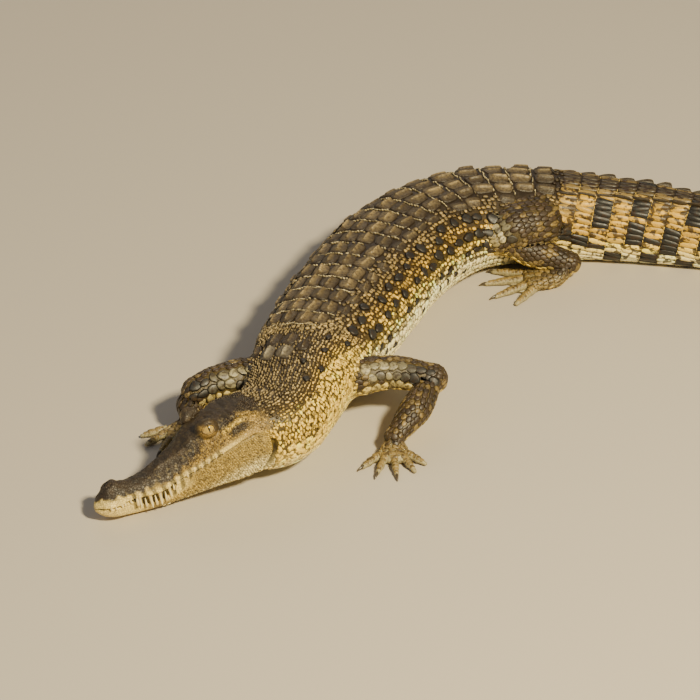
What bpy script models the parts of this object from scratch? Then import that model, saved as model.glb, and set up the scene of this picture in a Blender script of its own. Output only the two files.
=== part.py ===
"""Saltwater crocodile at rest, a still life-size museum model, divided at its natural parts.

One curved spine carries everything.  A station is a distance back from the snout tip; at each
station a heading, a height and a cross-section are read from the short schedules below, and the
head, neck, trunk and tail are lofts between two stations.  The limbs are tubes swept through
their joints and cut off where the trunk begins.  Thin cuts of one GAP part every solid from the
next.  The animal rests on flats under its belly, tail and soles, all at z = 0.
"""
import bpy
import bmesh
import math
import numpy as np
from mathutils import Vector

# ------------------------------------------------------------------ driving dimensions (metres)
TOTAL_LENGTH = 1.85
NECK_START = 0.233           # back of the head
TRUNK_START = 0.325          # just before the shoulders
TAIL_START = 0.985           # behind the hips
TAIL_MIDDLE_START = 1.25
TAIL_TIP_START = 1.54
BELLY_STATION = 0.66         # stands over the origin
GAP = 0.0003                 # width of every parting cut
HEAD_PITCH = 8.5             # the snout points down
HEAD_ROLL = 13.0             # the crown leans to the animal's right
SNOUT_HEIGHT = 0.031         # axis height at the snout tip

LOWER_JAW_INSET = 0.0035     # the lips of the upper jaw overhang the lower jaw
TOOTH_LENGTH = 0.0065
TOOTH_RADIUS = 0.0014
TOOTH_PITCH = 0.0130
EYE_STATION = 0.164
EYE_RADIUS = 0.0105
WHORL_PITCH = 0.0235         # one ring of tail scales
SCUTE_PITCH = 0.031          # one cross row of back armour

# heading of the spine, degrees from +X, seen from above: (station, heading)
HEADINGS = ((0.233, 30.5), (0.262, 45), (0.295, 67), (0.36, 76), (0.46, 70), (0.58, 69),
            (0.70, 62), (0.80, 40.5), (0.90, 9), (1.05, -8), (1.25, -17), (1.50, -3), (1.85, 10))

# height of the spine axis behind the head: (station, z)
HEIGHTS = ((0.233, 0.0654), (0.259, 0.0685), (0.30, 0.0730), (0.36, 0.0750), (0.41, 0.0715),
           (0.46, 0.0670), (0.56, 0.0615), (0.66, 0.0580), (0.78, 0.0550), (0.87, 0.0530),
           (0.95, 0.0510), (1.03, 0.0490), (1.15, 0.0460), (1.30, 0.0400), (1.50, 0.0310),
           (1.70, 0.0200), (1.85, 0.0050))

# cross-sections: (station, half width, below axis, above axis, widest level, roundness of the
# top and of the underside, taper of the top)
SECTIONS = (
    (0.000, 0.0030, 0.0150, -0.0060, -0.0105, 2.2, 2.2, 0.10),
    (0.004, 0.0095, 0.0205, -0.0020, -0.0108, 2.3, 2.4, 0.15),
    (0.009, 0.0150, 0.0250, 0.0030, -0.0112, 2.4, 2.6, 0.22),
    (0.019, 0.0200, 0.0295, 0.0110, -0.0118, 2.4, 2.8, 0.32),
    (0.028, 0.0218, 0.0320, 0.0150, -0.0124, 2.4, 2.8, 0.35),
    (0.040, 0.0202, 0.0352, 0.0118, -0.0116, 2.3, 2.8, 0.25),
    (0.052, 0.0200, 0.0380, 0.0075, -0.0138, 2.3, 2.8, 0.15),
    (0.071, 0.0235, 0.0405, 0.0075, -0.0160, 2.3, 3.0, 0.15),
    (0.085, 0.0255, 0.0420, 0.0100, -0.0165, 2.3, 3.0, 0.18),
    (0.104, 0.0275, 0.0430, 0.0155, -0.0120, 2.3, 3.2, 0.32),
    (0.123, 0.0322, 0.0435, 0.0235, -0.0075, 2.5, 3.4, 0.42),
    (0.142, 0.0380, 0.0435, 0.0335, -0.0030, 2.7, 3.6, 0.46),
    (0.162, 0.0438, 0.0440, 0.0410, 0.0040, 2.9, 3.8, 0.44),
    (0.180, 0.0485, 0.0455, 0.0450, 0.0090, 3.0, 3.8, 0.38),
    (0.200, 0.0515, 0.0475, 0.0470, 0.0140, 3.0, 3.6, 0.30),
    (0.218, 0.0525, 0.0490, 0.0475, 0.0155, 2.9, 3.2, 0.24),
    (0.233, 0.0545, 0.0550, 0.0450, 0.0130, 2.7, 2.8, 0.18),
    (0.259, 0.0600, 0.0625, 0.0415, 0.0060, 2.4, 2.5, 0.10),
    (0.300, 0.0620, 0.0670, 0.0415, 0.0000, 2.3, 2.4, 0.05),
    (0.360, 0.0690, 0.0675, 0.0440, 0.0000, 2.3, 2.3, 0.00),
    (0.410, 0.0755, 0.0645, 0.0490, 0.0000, 2.3, 2.3, 0.00),
    (0.460, 0.0810, 0.0630, 0.0540, 0.0000, 2.3, 2.3, 0.00),
    (0.560, 0.0865, 0.0610, 0.0585, 0.0000, 2.3, 2.2, 0.00),
    (0.660, 0.0875, 0.0595, 0.0610, 0.0000, 2.3, 2.2, 0.00),
    (0.780, 0.0840, 0.0565, 0.0625, 0.0000, 2.3, 2.3, 0.00),
    (0.870, 0.0760, 0.0545, 0.0640, 0.0000, 2.3, 2.4, 0.00),
    (0.950, 0.0640, 0.0525, 0.0635, 0.0000, 2.4, 2.5, 0.05),
    (1.030, 0.0540, 0.0505, 0.0600, 0.0000, 2.4, 2.5, 0.12),
    (1.150, 0.0430, 0.0475, 0.0555, 0.0000, 2.4, 2.5, 0.22),
    (1.300, 0.0325, 0.0415, 0.0490, 0.0000, 2.3, 2.4, 0.32),
    (1.500, 0.0215, 0.0325, 0.0390, 0.0000, 2.2, 2.3, 0.40),
    (1.700, 0.0120, 0.0215, 0.0250, 0.0000, 2.1, 2.2, 0.40),
    (1.850, 0.0020, 0.0055, 0.0020, 0.0000, 2.0, 2.0, 0.00))

# limbs: joints as (forward, outward, height) from the spine at the limb's station
FORE_STATION = 0.375
HIND_STATION = 0.955
LIMBS = {
    "foreleg_left": dict(station=FORE_STATION, side=1, fore=True, heading=20, joints=(
        (-0.005, 0.028, 0.066), (-0.012, 0.058, 0.066), (-0.036, 0.107, 0.066),
        (-0.044, 0.160, 0.060), (0.004, 0.149, 0.042), (0.046, 0.131, 0.022),
        (0.060, 0.134, 0.0095), (0.072, 0.137, 0.0075))),
    "foreleg_right": dict(station=FORE_STATION, side=-1, fore=True, heading=12, joints=(
        (0.012, 0.028, 0.066), (0.024, 0.070, 0.067), (0.044, 0.104, 0.067),
        (0.062, 0.126, 0.061), (0.068, 0.131, 0.042), (0.071, 0.133, 0.022),
        (0.082, 0.142, 0.0095), (0.092, 0.150, 0.0075))),
    "hindleg_left": dict(station=HIND_STATION, side=1, fore=False, heading=16, joints=(
        (-0.010, 0.015, 0.066), (0.010, 0.045, 0.070), (0.042, 0.063, 0.070),
        (0.066, 0.074, 0.063), (0.016, 0.075, 0.042), (-0.034, 0.079, 0.026),
        (-0.010, 0.090, 0.0125), (0.022, 0.096, 0.0095))),
    "hindleg_right": dict(station=HIND_STATION, side=-1, fore=False, heading=24, joints=(
        (-0.012, 0.015, 0.057), (-0.002, 0.042, 0.055), (0.022, 0.063, 0.051),
        (0.046, 0.078, 0.046), (-0.004, 0.086, 0.036), (-0.052, 0.096, 0.024),
        (-0.028, 0.107, 0.0125), (0.004, 0.118, 0.0095)))}
# half width and half height of the limb at each joint
FORE_GIRTH = ((0.030, 0.028), (0.028, 0.026), (0.0225, 0.0215), (0.0200, 0.0195),
              (0.0205, 0.0195), (0.0140, 0.0125), (0.0190, 0.0100), (0.0170, 0.0080))
HIND_GIRTH = ((0.036, 0.034), (0.038, 0.037), (0.0350, 0.0340), (0.0250, 0.0245),
              (0.0230, 0.0215), (0.0155, 0.0150), (0.0205, 0.0125), (0.0220, 0.0095))
# toes: spread angle, length, clawed
FORE_TOES = ((-52, 0.021, True), (-24, 0.029, True), (0, 0.032, True), (24, 0.028, False),
             (50, 0.020, False))
HIND_TOES = ((-34, 0.044, True), (-11, 0.054, True), (12, 0.052, True), (36, 0.040, False))
CLAW_LENGTH = 0.0115
CLAW_RADIUS = 0.0026
WEB_THICKNESS = 0.0030
BODY_COLUMNS = 24            # facets round the neck and the trunk
NECK_PITCH = 0.016           # length of one facet along the neck
TRUNK_PITCH = 0.040
TAIL_COLUMNS = 14
TAIL_PITCH = 0.040

for old in list(bpy.data.objects):
    bpy.data.objects.remove(old, do_unlink=True)


# ------------------------------------------------------------------ schedules and the spine
def schedule(table, x):
    """Smooth values between the rows of a schedule, never overshooting a row."""
    t = np.asarray(table, float)
    xs, ys = t[:, 0], t[:, 1:]
    h = np.diff(xs)[:, None]
    d = np.diff(ys, axis=0) / h
    m = np.zeros_like(ys)
    with np.errstate(divide="ignore", invalid="ignore"):
        mean = 3 * (h[:-1] + h[1:]) / ((2 * h[1:] + h[:-1]) / d[:-1] + (h[1:] + 2 * h[:-1]) / d[1:])
    m[1:-1] = np.where(d[:-1] * d[1:] > 0, mean, 0)
    m[0], m[-1] = d[0], d[-1]
    x = np.clip(np.atleast_1d(np.asarray(x, float)), xs[0], xs[-1])
    i = np.clip(np.searchsorted(xs, x) - 1, 0, len(xs) - 2)
    w = (xs[i + 1] - xs[i])[:, None]
    u = (x - xs[i])[:, None] / w
    return ((2 * u**3 - 3 * u**2 + 1) * ys[i] + (u**3 - 2 * u**2 + u) * w * m[i]
            + (-2 * u**3 + 3 * u**2) * ys[i + 1] + (u**3 - u**2) * w * m[i + 1])


def lay_spine():
    """The axis at every millimetre: stations, points and the three unit directions."""
    s = np.linspace(0.0, TOTAL_LENGTH, 1851)
    heading = np.radians(schedule(HEADINGS, s)[:, 0])
    z = schedule(HEIGHTS, s)[:, 0]
    head = s < NECK_START
    z[head] = SNOUT_HEIGHT + s[head] * math.sin(math.radians(HEAD_PITCH))
    pitch = np.where(head, math.radians(HEAD_PITCH), np.arcsin(np.clip(np.gradient(z, s), -.4, .4)))
    settle = np.clip((s - NECK_START + 0.02) / 0.06, 0, 1)
    pitch = np.where(settle < 1, math.radians(HEAD_PITCH) * (1 - settle) + pitch * settle, pitch)
    flat = np.stack([np.cos(heading), np.sin(heading), 0 * s], 1)
    back = flat * np.cos(pitch)[:, None] + np.array([0, 0, 1.0]) * np.sin(pitch)[:, None]
    step = (flat * np.cos(pitch)[:, None])[:-1] * np.diff(s)[:, None]
    point = np.concatenate([np.zeros((1, 3)), np.cumsum(step, 0)])
    point -= point[np.argmin(abs(s - BELLY_STATION))]
    point[:, 2] = z
    left = np.stack([np.sin(heading), -np.cos(heading), 0 * s], 1)
    up = np.cross(back, left)
    up *= np.sign(up[:, 2:3])
    roll = np.radians(HEAD_ROLL) * np.clip((0.42 - s) / (0.42 - NECK_START), 0, 1)
    c, n = np.cos(roll)[:, None], np.sin(roll)[:, None]
    return s, point, back, left * c + up * n, up * c - left * n


SPINE = lay_spine()


def frame(station):
    """Axis point, direction to the tail, direction to the animal's left, direction up."""
    s = SPINE[0]
    i = min(max(np.searchsorted(s, station) - 1, 0), len(s) - 2)
    u = (station - s[i]) / (s[i + 1] - s[i])
    return [a[i] * (1 - u) + a[i + 1] * u for a in SPINE[1:]]


def relief(station, x):
    """Brow ridges over the eyes and the two ridges of the skull table."""
    brow = 0.0045 * math.exp(-((station - 0.165) / 0.019) ** 2)
    table = 0.0020 * math.exp(-((station - 0.203) / 0.019) ** 2)
    return (brow * np.exp(-((abs(x) - 0.024) / 0.008) ** 2)
            + table * np.exp(-((abs(x) - 0.032) / 0.008) ** 2))


def skin_points(station, angles, grow=0.0, narrow=0.0):
    """Points round the body at a station; 0 is the left side, 90 degrees the back."""
    w, below, above, level, n_top, n_under, taper = schedule(SECTIONS, station)[0]
    w, below, above = w + grow - narrow, below + grow, above + grow
    c, n = np.cos(angles), np.sin(angles)
    top = n >= 0
    e = 2 / np.where(top, n_top, n_under)
    f = np.abs(n) ** e
    x = w * np.sign(c) * np.abs(c) ** e * np.where(top, 1 - taper * f, 1)
    z = level + np.where(top, (above - level) * f, -(level + below) * f)
    z = z + np.where(top, relief(station, x) * f, 0)
    p, back, left, up = frame(station)
    q = p + x[:, None] * left + z[:, None] * up
    q[:, 2] = np.maximum(q[:, 2], 0.0 - grow)
    return q


# ------------------------------------------------------------------ building blocks
def finish(name, bm, colour, roughness=0.6):
    """Turn a bmesh into a named object with its own material."""
    bmesh.ops.recalc_face_normals(bm, faces=bm.faces[:])
    mesh = bpy.data.meshes.new(name)
    bm.to_mesh(mesh)
    bm.free()
    for face in mesh.polygons:
        face.use_smooth = True
    obj = bpy.data.objects.new(name, mesh)
    bpy.context.scene.collection.objects.link(obj)
    paint = bpy.data.materials.new(name + "_finish")
    paint.use_nodes = True
    shader = paint.node_tree.nodes["Principled BSDF"]
    shader.inputs["Base Color"].default_value = (*colour, 1)
    shader.inputs["Roughness"].default_value = roughness
    shader.inputs["Metallic"].default_value = 0.0
    mesh.materials.append(paint)
    return obj


def loft(bm, loops):
    """A closed body through loops that all have the same number of points."""
    rows = [[bm.verts.new(p) for p in loop] for loop in loops]
    for a, b in zip(rows, rows[1:]):
        for i in range(len(a)):
            j = (i + 1) % len(a)
            bm.faces.new((a[i], a[j], b[j]))
            bm.faces.new((a[i], b[j], b[i]))
    for row, step in ((rows[0], -1), (rows[-1], 1)):
        centre = bm.verts.new(sum((v.co for v in row), Vector()) / len(row))
        for i in range(len(row)):
            j = (i + 1) % len(row)
            bm.faces.new((row[i], row[j], centre) if step > 0 else (row[j], row[i], centre))


def combine(target, tool, operation):
    """Apply one exact Boolean and throw the tool away."""
    tool.hide_render = True
    tool.display_type = "WIRE"
    cut = target.modifiers.new(operation.lower(), "BOOLEAN")
    cut.operation, cut.object, cut.solver = operation, tool, "EXACT"
    bpy.context.view_layer.update()
    done = bpy.data.meshes.new_from_object(target.evaluated_get(bpy.context.evaluated_depsgraph_get()))
    target.modifiers.remove(cut)
    old, target.data = target.data, done
    bpy.data.meshes.remove(old)
    bpy.data.objects.remove(tool, do_unlink=True)
    return target


def stations(start, end, pitch):
    return np.linspace(start, end, max(2, round((end - start) / pitch) + 1))


def body_part(name, start, end, pitch, columns, colour):
    """A loft of the body between two stations, with the flat it rests on."""
    bm = bmesh.new()
    angles = np.arange(columns) * math.tau / columns
    loft(bm, [skin_points(s, angles) for s in stations(start, end, pitch)])
    return finish(name, bm, colour)


def add_keel(bm, station, angle, length, height, thickness):
    """One keeled scale: a low blade along the body, its foot sunk in the skin."""
    spread = math.radians(2)
    here, left, right = skin_points(station, np.array([angle, angle - spread, angle + spread]))
    ahead = skin_points(station - 0.004, np.array([angle]))[0]
    along = Vector(here - ahead).normalized()
    across = Vector(left - right).normalized()
    out = along.cross(across).normalized()
    if out.dot(Vector(frame(station)[3])) < 0:
        out.negate()
    foot = Vector(here)
    half, thick = length / 2, thickness / 2
    deep = min(0.0025, 0.3 * length)
    low = [foot + along * a + across * b - out * deep
           for a, b in ((-half, -thick), (half, -thick), (half, thick), (-half, thick))]
    low = [bm.verts.new(p) for p in low]
    peak = bm.verts.new(foot + along * half * 0.6 + out * height)
    bm.faces.new(low)
    for i in range(4):
        bm.faces.new((low[i], low[(i + 1) % 4], peak))


# ------------------------------------------------------------------ head
def half_loops(start, end, top, narrow):
    """Loops of the upper or the lower half of the head, closed along the line of the mouth."""
    rows = []
    marks = sorted({start, end, 0.004, 0.0095, 0.019, 0.0285, 0.040, 0.052, 0.066, 0.080, 0.095,
                    0.109, 0.123, 0.138, 0.150, 0.160, 0.170, 0.182, 0.200, 0.216})
    for s in [m for m in marks if start <= m <= end]:
        angles = np.linspace(0, math.pi, 12) * (1 if top else -1)
        inset = narrow * np.clip((0.220 - s) / 0.03, 0, 1)
        rim = skin_points(s, angles, narrow=min(inset, 0.3 * schedule(SECTIONS, s)[0][0]))
        shift = frame(s)[3] * GAP / 2 * (1 if top else -1)
        rim[0] += shift
        rim[-1] += shift
        inner = [rim[-1] + (rim[0] - rim[-1]) * f for f in (0.33, 0.67)]
        rows.append(list(rim) + inner)
    return rows


def make_head():
    """Skull and upper jaw with its teeth, brow ridges and eye sockets."""
    bm = bmesh.new()
    loft(bm, half_loops(0.0, NECK_START - GAP / 2, True, 0))
    head = finish("head", bm, (0.16, 0.13, 0.08))
    for side in (1, -1):
        combine(head, ball("brow", eye_centre(side, 0.0225), 0.0128, 12, 7), "UNION")
    bm = bmesh.new()
    for k in range(12):
        s = 0.015 + TOOTH_PITCH * k
        w, _, _, level = schedule(SECTIONS, s)[0][:4]
        p, back, left, up = frame(s)
        size = 1.0 + 0.3 * math.cos((s - 0.085) * 60)
        for side in (1, -1):
            root = p + left * side * (w - TOOTH_RADIUS * size - 0.0002) + up * (level + 0.003)
            tip = root - up * (0.003 + TOOTH_LENGTH * size) + back * 0.0006
            ring = [[root + (tip - root) * f + TOOTH_RADIUS * size * r *
                     (left * math.cos(a) + back * math.sin(a))
                     for a in np.arange(4) * math.tau / 4] for f, r in ((0, 1), (1, 0.15))]
            loft(bm, ring)
    combine(head, finish("teeth", bm, (0.8, 0.76, 0.62)), "UNION")
    for side in (1, -1):
        combine(head, ball("socket", eye_centre(side, 0.0262), EYE_RADIUS + GAP, 12, 7), "DIFFERENCE")
    return head


def make_lower_jaw():
    bm = bmesh.new()
    loft(bm, half_loops(0.003, NECK_START - GAP / 2, False, LOWER_JAW_INSET))
    return finish("lower_jaw", bm, (0.72, 0.62, 0.40))


def eye_centre(side, outward):
    p, back, left, up = frame(EYE_STATION)
    return p + left * side * outward + up * 0.0385


def ball(name, centre, radius, columns, rows, colour=(0.5, 0.4, 0.15)):
    bm = bmesh.new()
    bmesh.ops.create_uvsphere(bm, u_segments=columns, v_segments=rows, radius=radius)
    bmesh.ops.translate(bm, verts=bm.verts[:], vec=Vector(centre))
    return finish(name, bm, colour, 0.2)


# ------------------------------------------------------------------ trunk and tail armour
def armour_trunk(trunk):
    """Four lengthwise rows of low keels on the back."""
    bm = bmesh.new()
    rows = int((0.965 - 0.435) / SCUTE_PITCH) + 1
    for k in range(rows):
        s = 0.435 + SCUTE_PITCH * k
        for degrees in (53, 84, 96, 127) if 0.46 < s < 0.85 else (84, 96):   # clear of the limbs
            add_keel(bm, s, math.radians(degrees), 0.021, 0.0028, 0.0050)
    return combine(trunk, finish("keels", bm, (0.1, 0.1, 0.08)), "UNION")


def armour_tail(part, start, end):
    """Two rows of upright crest scales that draw together into one row past mid tail."""
    bm = bmesh.new()
    k = 0
    while True:
        s = TAIL_START + 0.012 + WHORL_PITCH * k * (1 - 0.0035 * k)
        k += 1
        if s > min(end, TOTAL_LENGTH - 0.03) or k > 60:
            break
        if s - 0.011 < start or s + 0.011 > end:
            continue
        if s < 1.42:
            rise = 0.004 + 0.009 * np.clip((s - TAIL_START) / 0.42, 0, 1)
            apart = math.radians(30 - 17 * np.clip((s - TAIL_START) / 0.44, 0, 1))
            for side in (-1, 1):
                add_keel(bm, s, math.pi / 2 + side * apart, 0.020, rise, 0.0035)
        else:
            rise = 0.015 - 0.010 * np.clip((s - 1.45) / 0.38, 0, 1)
            add_keel(bm, s, math.pi / 2, 0.0195 - 0.004 * (s > 1.7), rise, 0.0032)
    return combine(part, finish("crest", bm, (0.1, 0.1, 0.08)), "UNION")


# ------------------------------------------------------------------ limbs
def limb_frame(spec):
    """Point on the floor under the spine, direction forward and direction outward."""
    p, back, left, up = frame(spec["station"])
    fore = Vector((-back[0], -back[1], 0)).normalized()
    out = Vector((left[0], left[1], 0)).normalized() * spec["side"]
    return Vector((p[0], p[1], 0)), fore, out


def sweep(joints, girth, cap_start, cap_end, per=2):
    """Rings of a tube through joints; a capped end is rounded off, an open end is cut square."""
    ends = [joints[0] * 2 - joints[1]] + list(joints) + [joints[-1] * 2 - joints[-2]]
    rows = []
    for i in range(1, len(ends) - 2):
        a, b, c, d = ends[i - 1:i + 3]
        g0, g1 = girth[i - 1], girth[i]
        for k in range(per + (i == len(ends) - 3)):
            t = k / per
            q = 0.5 * (2 * b + (c - a) * t + (2 * a - 5 * b + 4 * c - d) * t * t
                       + (3 * b - a - 3 * c + d) * t**3)
            u = t * t * (3 - 2 * t)
            rows.append([q, g0[0] * (1 - u) + g1[0] * u, g0[1] * (1 - u) + g1[1] * u])
    ways = [(rows[min(i + 1, len(rows) - 1)][0] - rows[max(i - 1, 0)][0]).normalized()
            for i in range(len(rows))]
    rings = []
    for (q, w, h), way in zip(rows, ways):
        side = way.cross(Vector((0, 0, 1))).normalized()
        rings.append((q, way, side, side.cross(way), w, h))
    round_off = ((0.55, 0.84), (0.87, 0.50), (0.99, 0.14))
    if cap_start:
        q, way, side, rise, w, h = rings[0]
        rings = [(q - way * h * f, way, side, rise, w * r, h * r) for f, r in round_off[::-1]] + rings
    if cap_end:
        q, way, side, rise, w, h = rings[-1]
        rings += [(q + way * h * f, way, side, rise, w * r, h * r) for f, r in round_off]
    return rings


def ring_points(ring, columns, grow=0.0, floor=0.0):
    q, along, side, rise, a, b = ring
    pts = []
    for k in range(columns):
        t = math.tau * (k + 0.5) / columns
        p = q + side * (a + grow) * math.cos(t) + rise * (b + grow) * math.sin(t)
        p.z = max(p.z, floor)
        pts.append(p)
    return pts


def tube(name, rings, columns=10, grow=0.0, floor=0.0, colour=(0.15, 0.12, 0.07)):
    """The solid through the rings, or the space it takes grown by a parting cut."""
    bm = bmesh.new()
    loft(bm, [ring_points(r, columns, grow, floor) for r in rings])
    return finish(name, bm, colour)


def trunk_room(spec):
    """The space neck, trunk and tail take near a limb, one parting cut larger."""
    bm = bmesh.new()
    angles = np.arange(BODY_COLUMNS) * math.tau / BODY_COLUMNS
    marks = [*stations(NECK_START + GAP / 2, TRUNK_START - GAP / 2, NECK_PITCH),
             *stations(TRUNK_START + GAP / 2, TAIL_START - GAP / 2, TRUNK_PITCH),
             *stations(TAIL_START + GAP / 2, TAIL_MIDDLE_START - GAP / 2, TAIL_PITCH)]
    loft(bm, [skin_points(s, angles, grow=GAP) for s in marks if abs(s - spec["station"]) < 0.16])
    return finish("trunk_room", bm, (0, 0, 0))


def make_limb(limb):
    spec = LIMBS[limb]
    names = ("upper_arm", "forearm", "hand") if spec["fore"] else ("thigh", "shin", "foot")
    tag = "_" + limb.split("_")[1]
    base, fore, out = limb_frame(spec)
    joints = [base + fore * f + out * o + Vector((0, 0, z)) for f, o, z in spec["joints"]]
    girth = FORE_GIRTH if spec["fore"] else HIND_GIRTH
    slim = [(w * 0.74, h * 0.74) for w, h in girth]
    upper_rings = sweep(joints[:4], girth[:4], False, True)
    lower_rings = sweep(joints[3:6], (slim[3], girth[4], girth[5]), True, True)
    palm_rings = sweep(joints[5:], (slim[5], girth[6], girth[7]), True, False)
    q, along, side, rise, w, h = palm_rings[-1]
    palm_rings.append((q + along * 0.006, along, side, rise, w * 0.7, h * 0.7))
    upper = tube(names[0] + tag, upper_rings)
    combine(upper, trunk_room(spec), "DIFFERENCE")
    lower = tube(names[1] + tag, lower_rings)
    combine(lower, tube("upper_room", upper_rings, grow=GAP), "DIFFERENCE")
    combine(lower, trunk_room(spec), "DIFFERENCE")
    palm = tube(names[2] + tag, palm_rings, floor=0.0004)
    add_toes(palm, spec, palm_rings[:-1], fore, out, tag[1:])
    combine(palm, tube("lower_room", lower_rings, grow=GAP), "DIFFERENCE")


def add_toes(palm, spec, rings, fore, out, tag):
    """Toes fan from the palm, the inner three end in claws; a thin web spans the toes."""
    q = rings[-1][0]
    turn = math.radians(spec["heading"])
    ahead = fore * math.cos(turn) + out * math.sin(turn)
    beside = out * math.cos(turn) - fore * math.sin(turn)
    toes = FORE_TOES if spec["fore"] else HIND_TOES
    spread, thick = (0.0115, 0.0056) if spec["fore"] else (0.0140, 0.0062)
    kind = "fore" if spec["fore"] else "hind"
    tips = []
    for n, (degrees, length, clawed) in enumerate(toes):
        lean = math.radians(degrees)
        way = ahead * math.cos(lean) + beside * math.sin(lean)
        root = Vector((q.x, q.y, 0)) - ahead * 0.010 + beside * spread * math.sin(lean) * 1.6
        bm = bmesh.new()
        loops, side = [], way.cross(Vector((0, 0, 1)))
        reach = length + 0.012
        for f, r, z in ((0, 1.0, 0.0092), (0.6, 0.90, 0.0060), (1.0, 0.50, 0.0032)):
            c = root + way * reach * f + Vector((0, 0, z))
            loops.append(ring_points((c, way, side, Vector((0, 0, 1)), thick * r, thick * r), 5))
        loft(bm, loops)
        combine(palm, finish("toe", bm, (0, 0, 0)), "UNION")
        tips.append((root, way, reach))
        if clawed:
            bm = bmesh.new()
            tip = root + way * (reach + GAP) + Vector((0, 0, 0.0036))
            rows = []
            for f, r in ((0, 1), (0.5, 0.75), (1.0, 0.10)):
                c = tip + way * CLAW_LENGTH * f + Vector((0, 0, 0.0012 * math.sin(f * 3.0) - 0.0018 * f))
                rows.append([c + side * CLAW_RADIUS * 0.8 * r * math.cos(t)
                             + Vector((0, 0, CLAW_RADIUS * r * math.sin(t)))
                             for t in np.arange(4) * math.tau / 4])
            loft(bm, rows)
            finish("claw_%s_%s_%d" % (kind, tag, n + 1), bm, (0.12, 0.10, 0.07), 0.35)
    if spec["fore"]:
        return
    edge = [Vector((q.x, q.y, 0)) - ahead * 0.012]
    edge += [root + way * reach * 0.62 for root, way, reach in tips]
    bm = bmesh.new()
    low = [bm.verts.new((p.x, p.y, 0.0008)) for p in edge]
    high = [bm.verts.new((p.x, p.y, 0.0008 + WEB_THICKNESS)) for p in edge]
    bm.faces.new(low)
    bm.faces.new(high[::-1])
    for i in range(len(edge)):
        j = (i + 1) % len(edge)
        bm.faces.new((low[i], low[j], high[j], high[i]))
    combine(palm, finish("web", bm, (0, 0, 0)), "UNION")


# ------------------------------------------------------------------ the animal
make_head()
make_lower_jaw()
for side, tag in ((1, "left"), (-1, "right")):
    ball("eye_" + tag, eye_centre(side, 0.0262), EYE_RADIUS, 12, 7)
body_part("neck", NECK_START + GAP / 2, TRUNK_START - GAP / 2, NECK_PITCH, BODY_COLUMNS,
          (0.22, 0.18, 0.11))
armour_trunk(body_part("trunk", TRUNK_START + GAP / 2, TAIL_START - GAP / 2, TRUNK_PITCH, BODY_COLUMNS,
                       (0.30, 0.24, 0.13)))
for name, start, end in (("tail_base", TAIL_START, TAIL_MIDDLE_START),
                         ("tail_middle", TAIL_MIDDLE_START, TAIL_TIP_START),
                         ("tail_tip", TAIL_TIP_START, TOTAL_LENGTH + GAP / 2)):
    part = body_part(name, start + GAP / 2, end - GAP / 2, TAIL_PITCH, TAIL_COLUMNS, (0.34, 0.26, 0.12))
    armour_tail(part, start + GAP / 2, end - GAP / 2)
for limb in LIMBS:
    make_limb(limb)
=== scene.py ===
# %% [markdown]
# # A young saltwater crocodile at rest
# This script dresses the solids of a life-size museum crocodile, 1.85 m along its spine.
# One skin without a seam goes over the whole animal.  On the skin lie several thousand scales,
# each a small closed plate, and the eyes, teeth, claws, back plates and tail crest are pieces of
# their own.  Everything is measured in metres in the frame of the solids.

# %% Load the solids as a fixed frame
import math
from functools import partial

import bmesh
import bpy
import numpy as np
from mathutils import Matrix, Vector, noise
from mathutils.bvhtree import BVHTree
from mathutils.kdtree import KDTree


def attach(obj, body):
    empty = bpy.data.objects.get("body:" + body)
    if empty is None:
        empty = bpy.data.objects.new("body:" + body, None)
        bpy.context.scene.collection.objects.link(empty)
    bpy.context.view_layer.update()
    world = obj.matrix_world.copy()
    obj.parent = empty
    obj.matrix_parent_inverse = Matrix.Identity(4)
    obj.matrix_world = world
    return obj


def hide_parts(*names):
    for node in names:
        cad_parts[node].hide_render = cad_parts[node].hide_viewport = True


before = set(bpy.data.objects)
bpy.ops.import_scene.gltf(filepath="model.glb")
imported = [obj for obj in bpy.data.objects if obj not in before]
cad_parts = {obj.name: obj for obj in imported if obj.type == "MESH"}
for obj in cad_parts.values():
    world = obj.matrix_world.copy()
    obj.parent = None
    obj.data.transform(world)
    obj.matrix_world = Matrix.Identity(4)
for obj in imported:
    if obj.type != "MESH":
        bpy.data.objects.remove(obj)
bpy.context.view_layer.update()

# %% [markdown]
# ## Camera, floor and light
# A long lens seven metres away looks down at 32 degrees on the animal's left side.  A small warm
# lamp high on the right throws crisp shadows as a low sun does, a wide cool lamp on the left
# keeps the shadows open, and a third one lights the far edge from behind.

# %% Camera
CAMERA_ELEVATION = math.radians(32)
CAMERA_DISTANCE = 7.0
CAMERA_RIGHT, CAMERA_UP = -0.0386, -0.0522  # metres from the origin, seen in the view


def add_to_scene(name, data):
    """An object of the scene that shows some data."""
    thing = bpy.data.objects.new(name, data)
    bpy.context.scene.collection.objects.link(thing)
    return thing


camera_data = bpy.data.cameras.new("camera")
camera_data.lens = 270
camera_data.sensor_width = 36
camera_data.clip_end = 60
camera = add_to_scene("camera", camera_data)
bpy.context.scene.camera = camera
back_way = Vector((0, -math.cos(CAMERA_ELEVATION), math.sin(CAMERA_ELEVATION)))
up_way = Vector((0, math.sin(CAMERA_ELEVATION), math.cos(CAMERA_ELEVATION)))
camera.location = Vector((CAMERA_RIGHT, 0, 0)) + up_way * CAMERA_UP + back_way * CAMERA_DISTANCE
camera.rotation_euler = (math.pi / 2 - CAMERA_ELEVATION, 0, 0)
print("camera at", tuple(round(x, 3) for x in camera.location))


# %% Colours are written as sRGB hex and turned to linear here
def linear(hex_colour):
    """Linear red, green and blue of an sRGB hex colour such as #c8a35a."""
    parts = [int(hex_colour[i:i + 2], 16) / 255 for i in (1, 3, 5)]
    return np.array([c / 12.92 if c <= 0.04045 else ((c + 0.055) / 1.055) ** 2.4 for c in parts])


def rgba(hex_colour):
    """The same with an alpha of 1, as a colour socket wants it."""
    return (*linear(hex_colour), 1)


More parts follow.
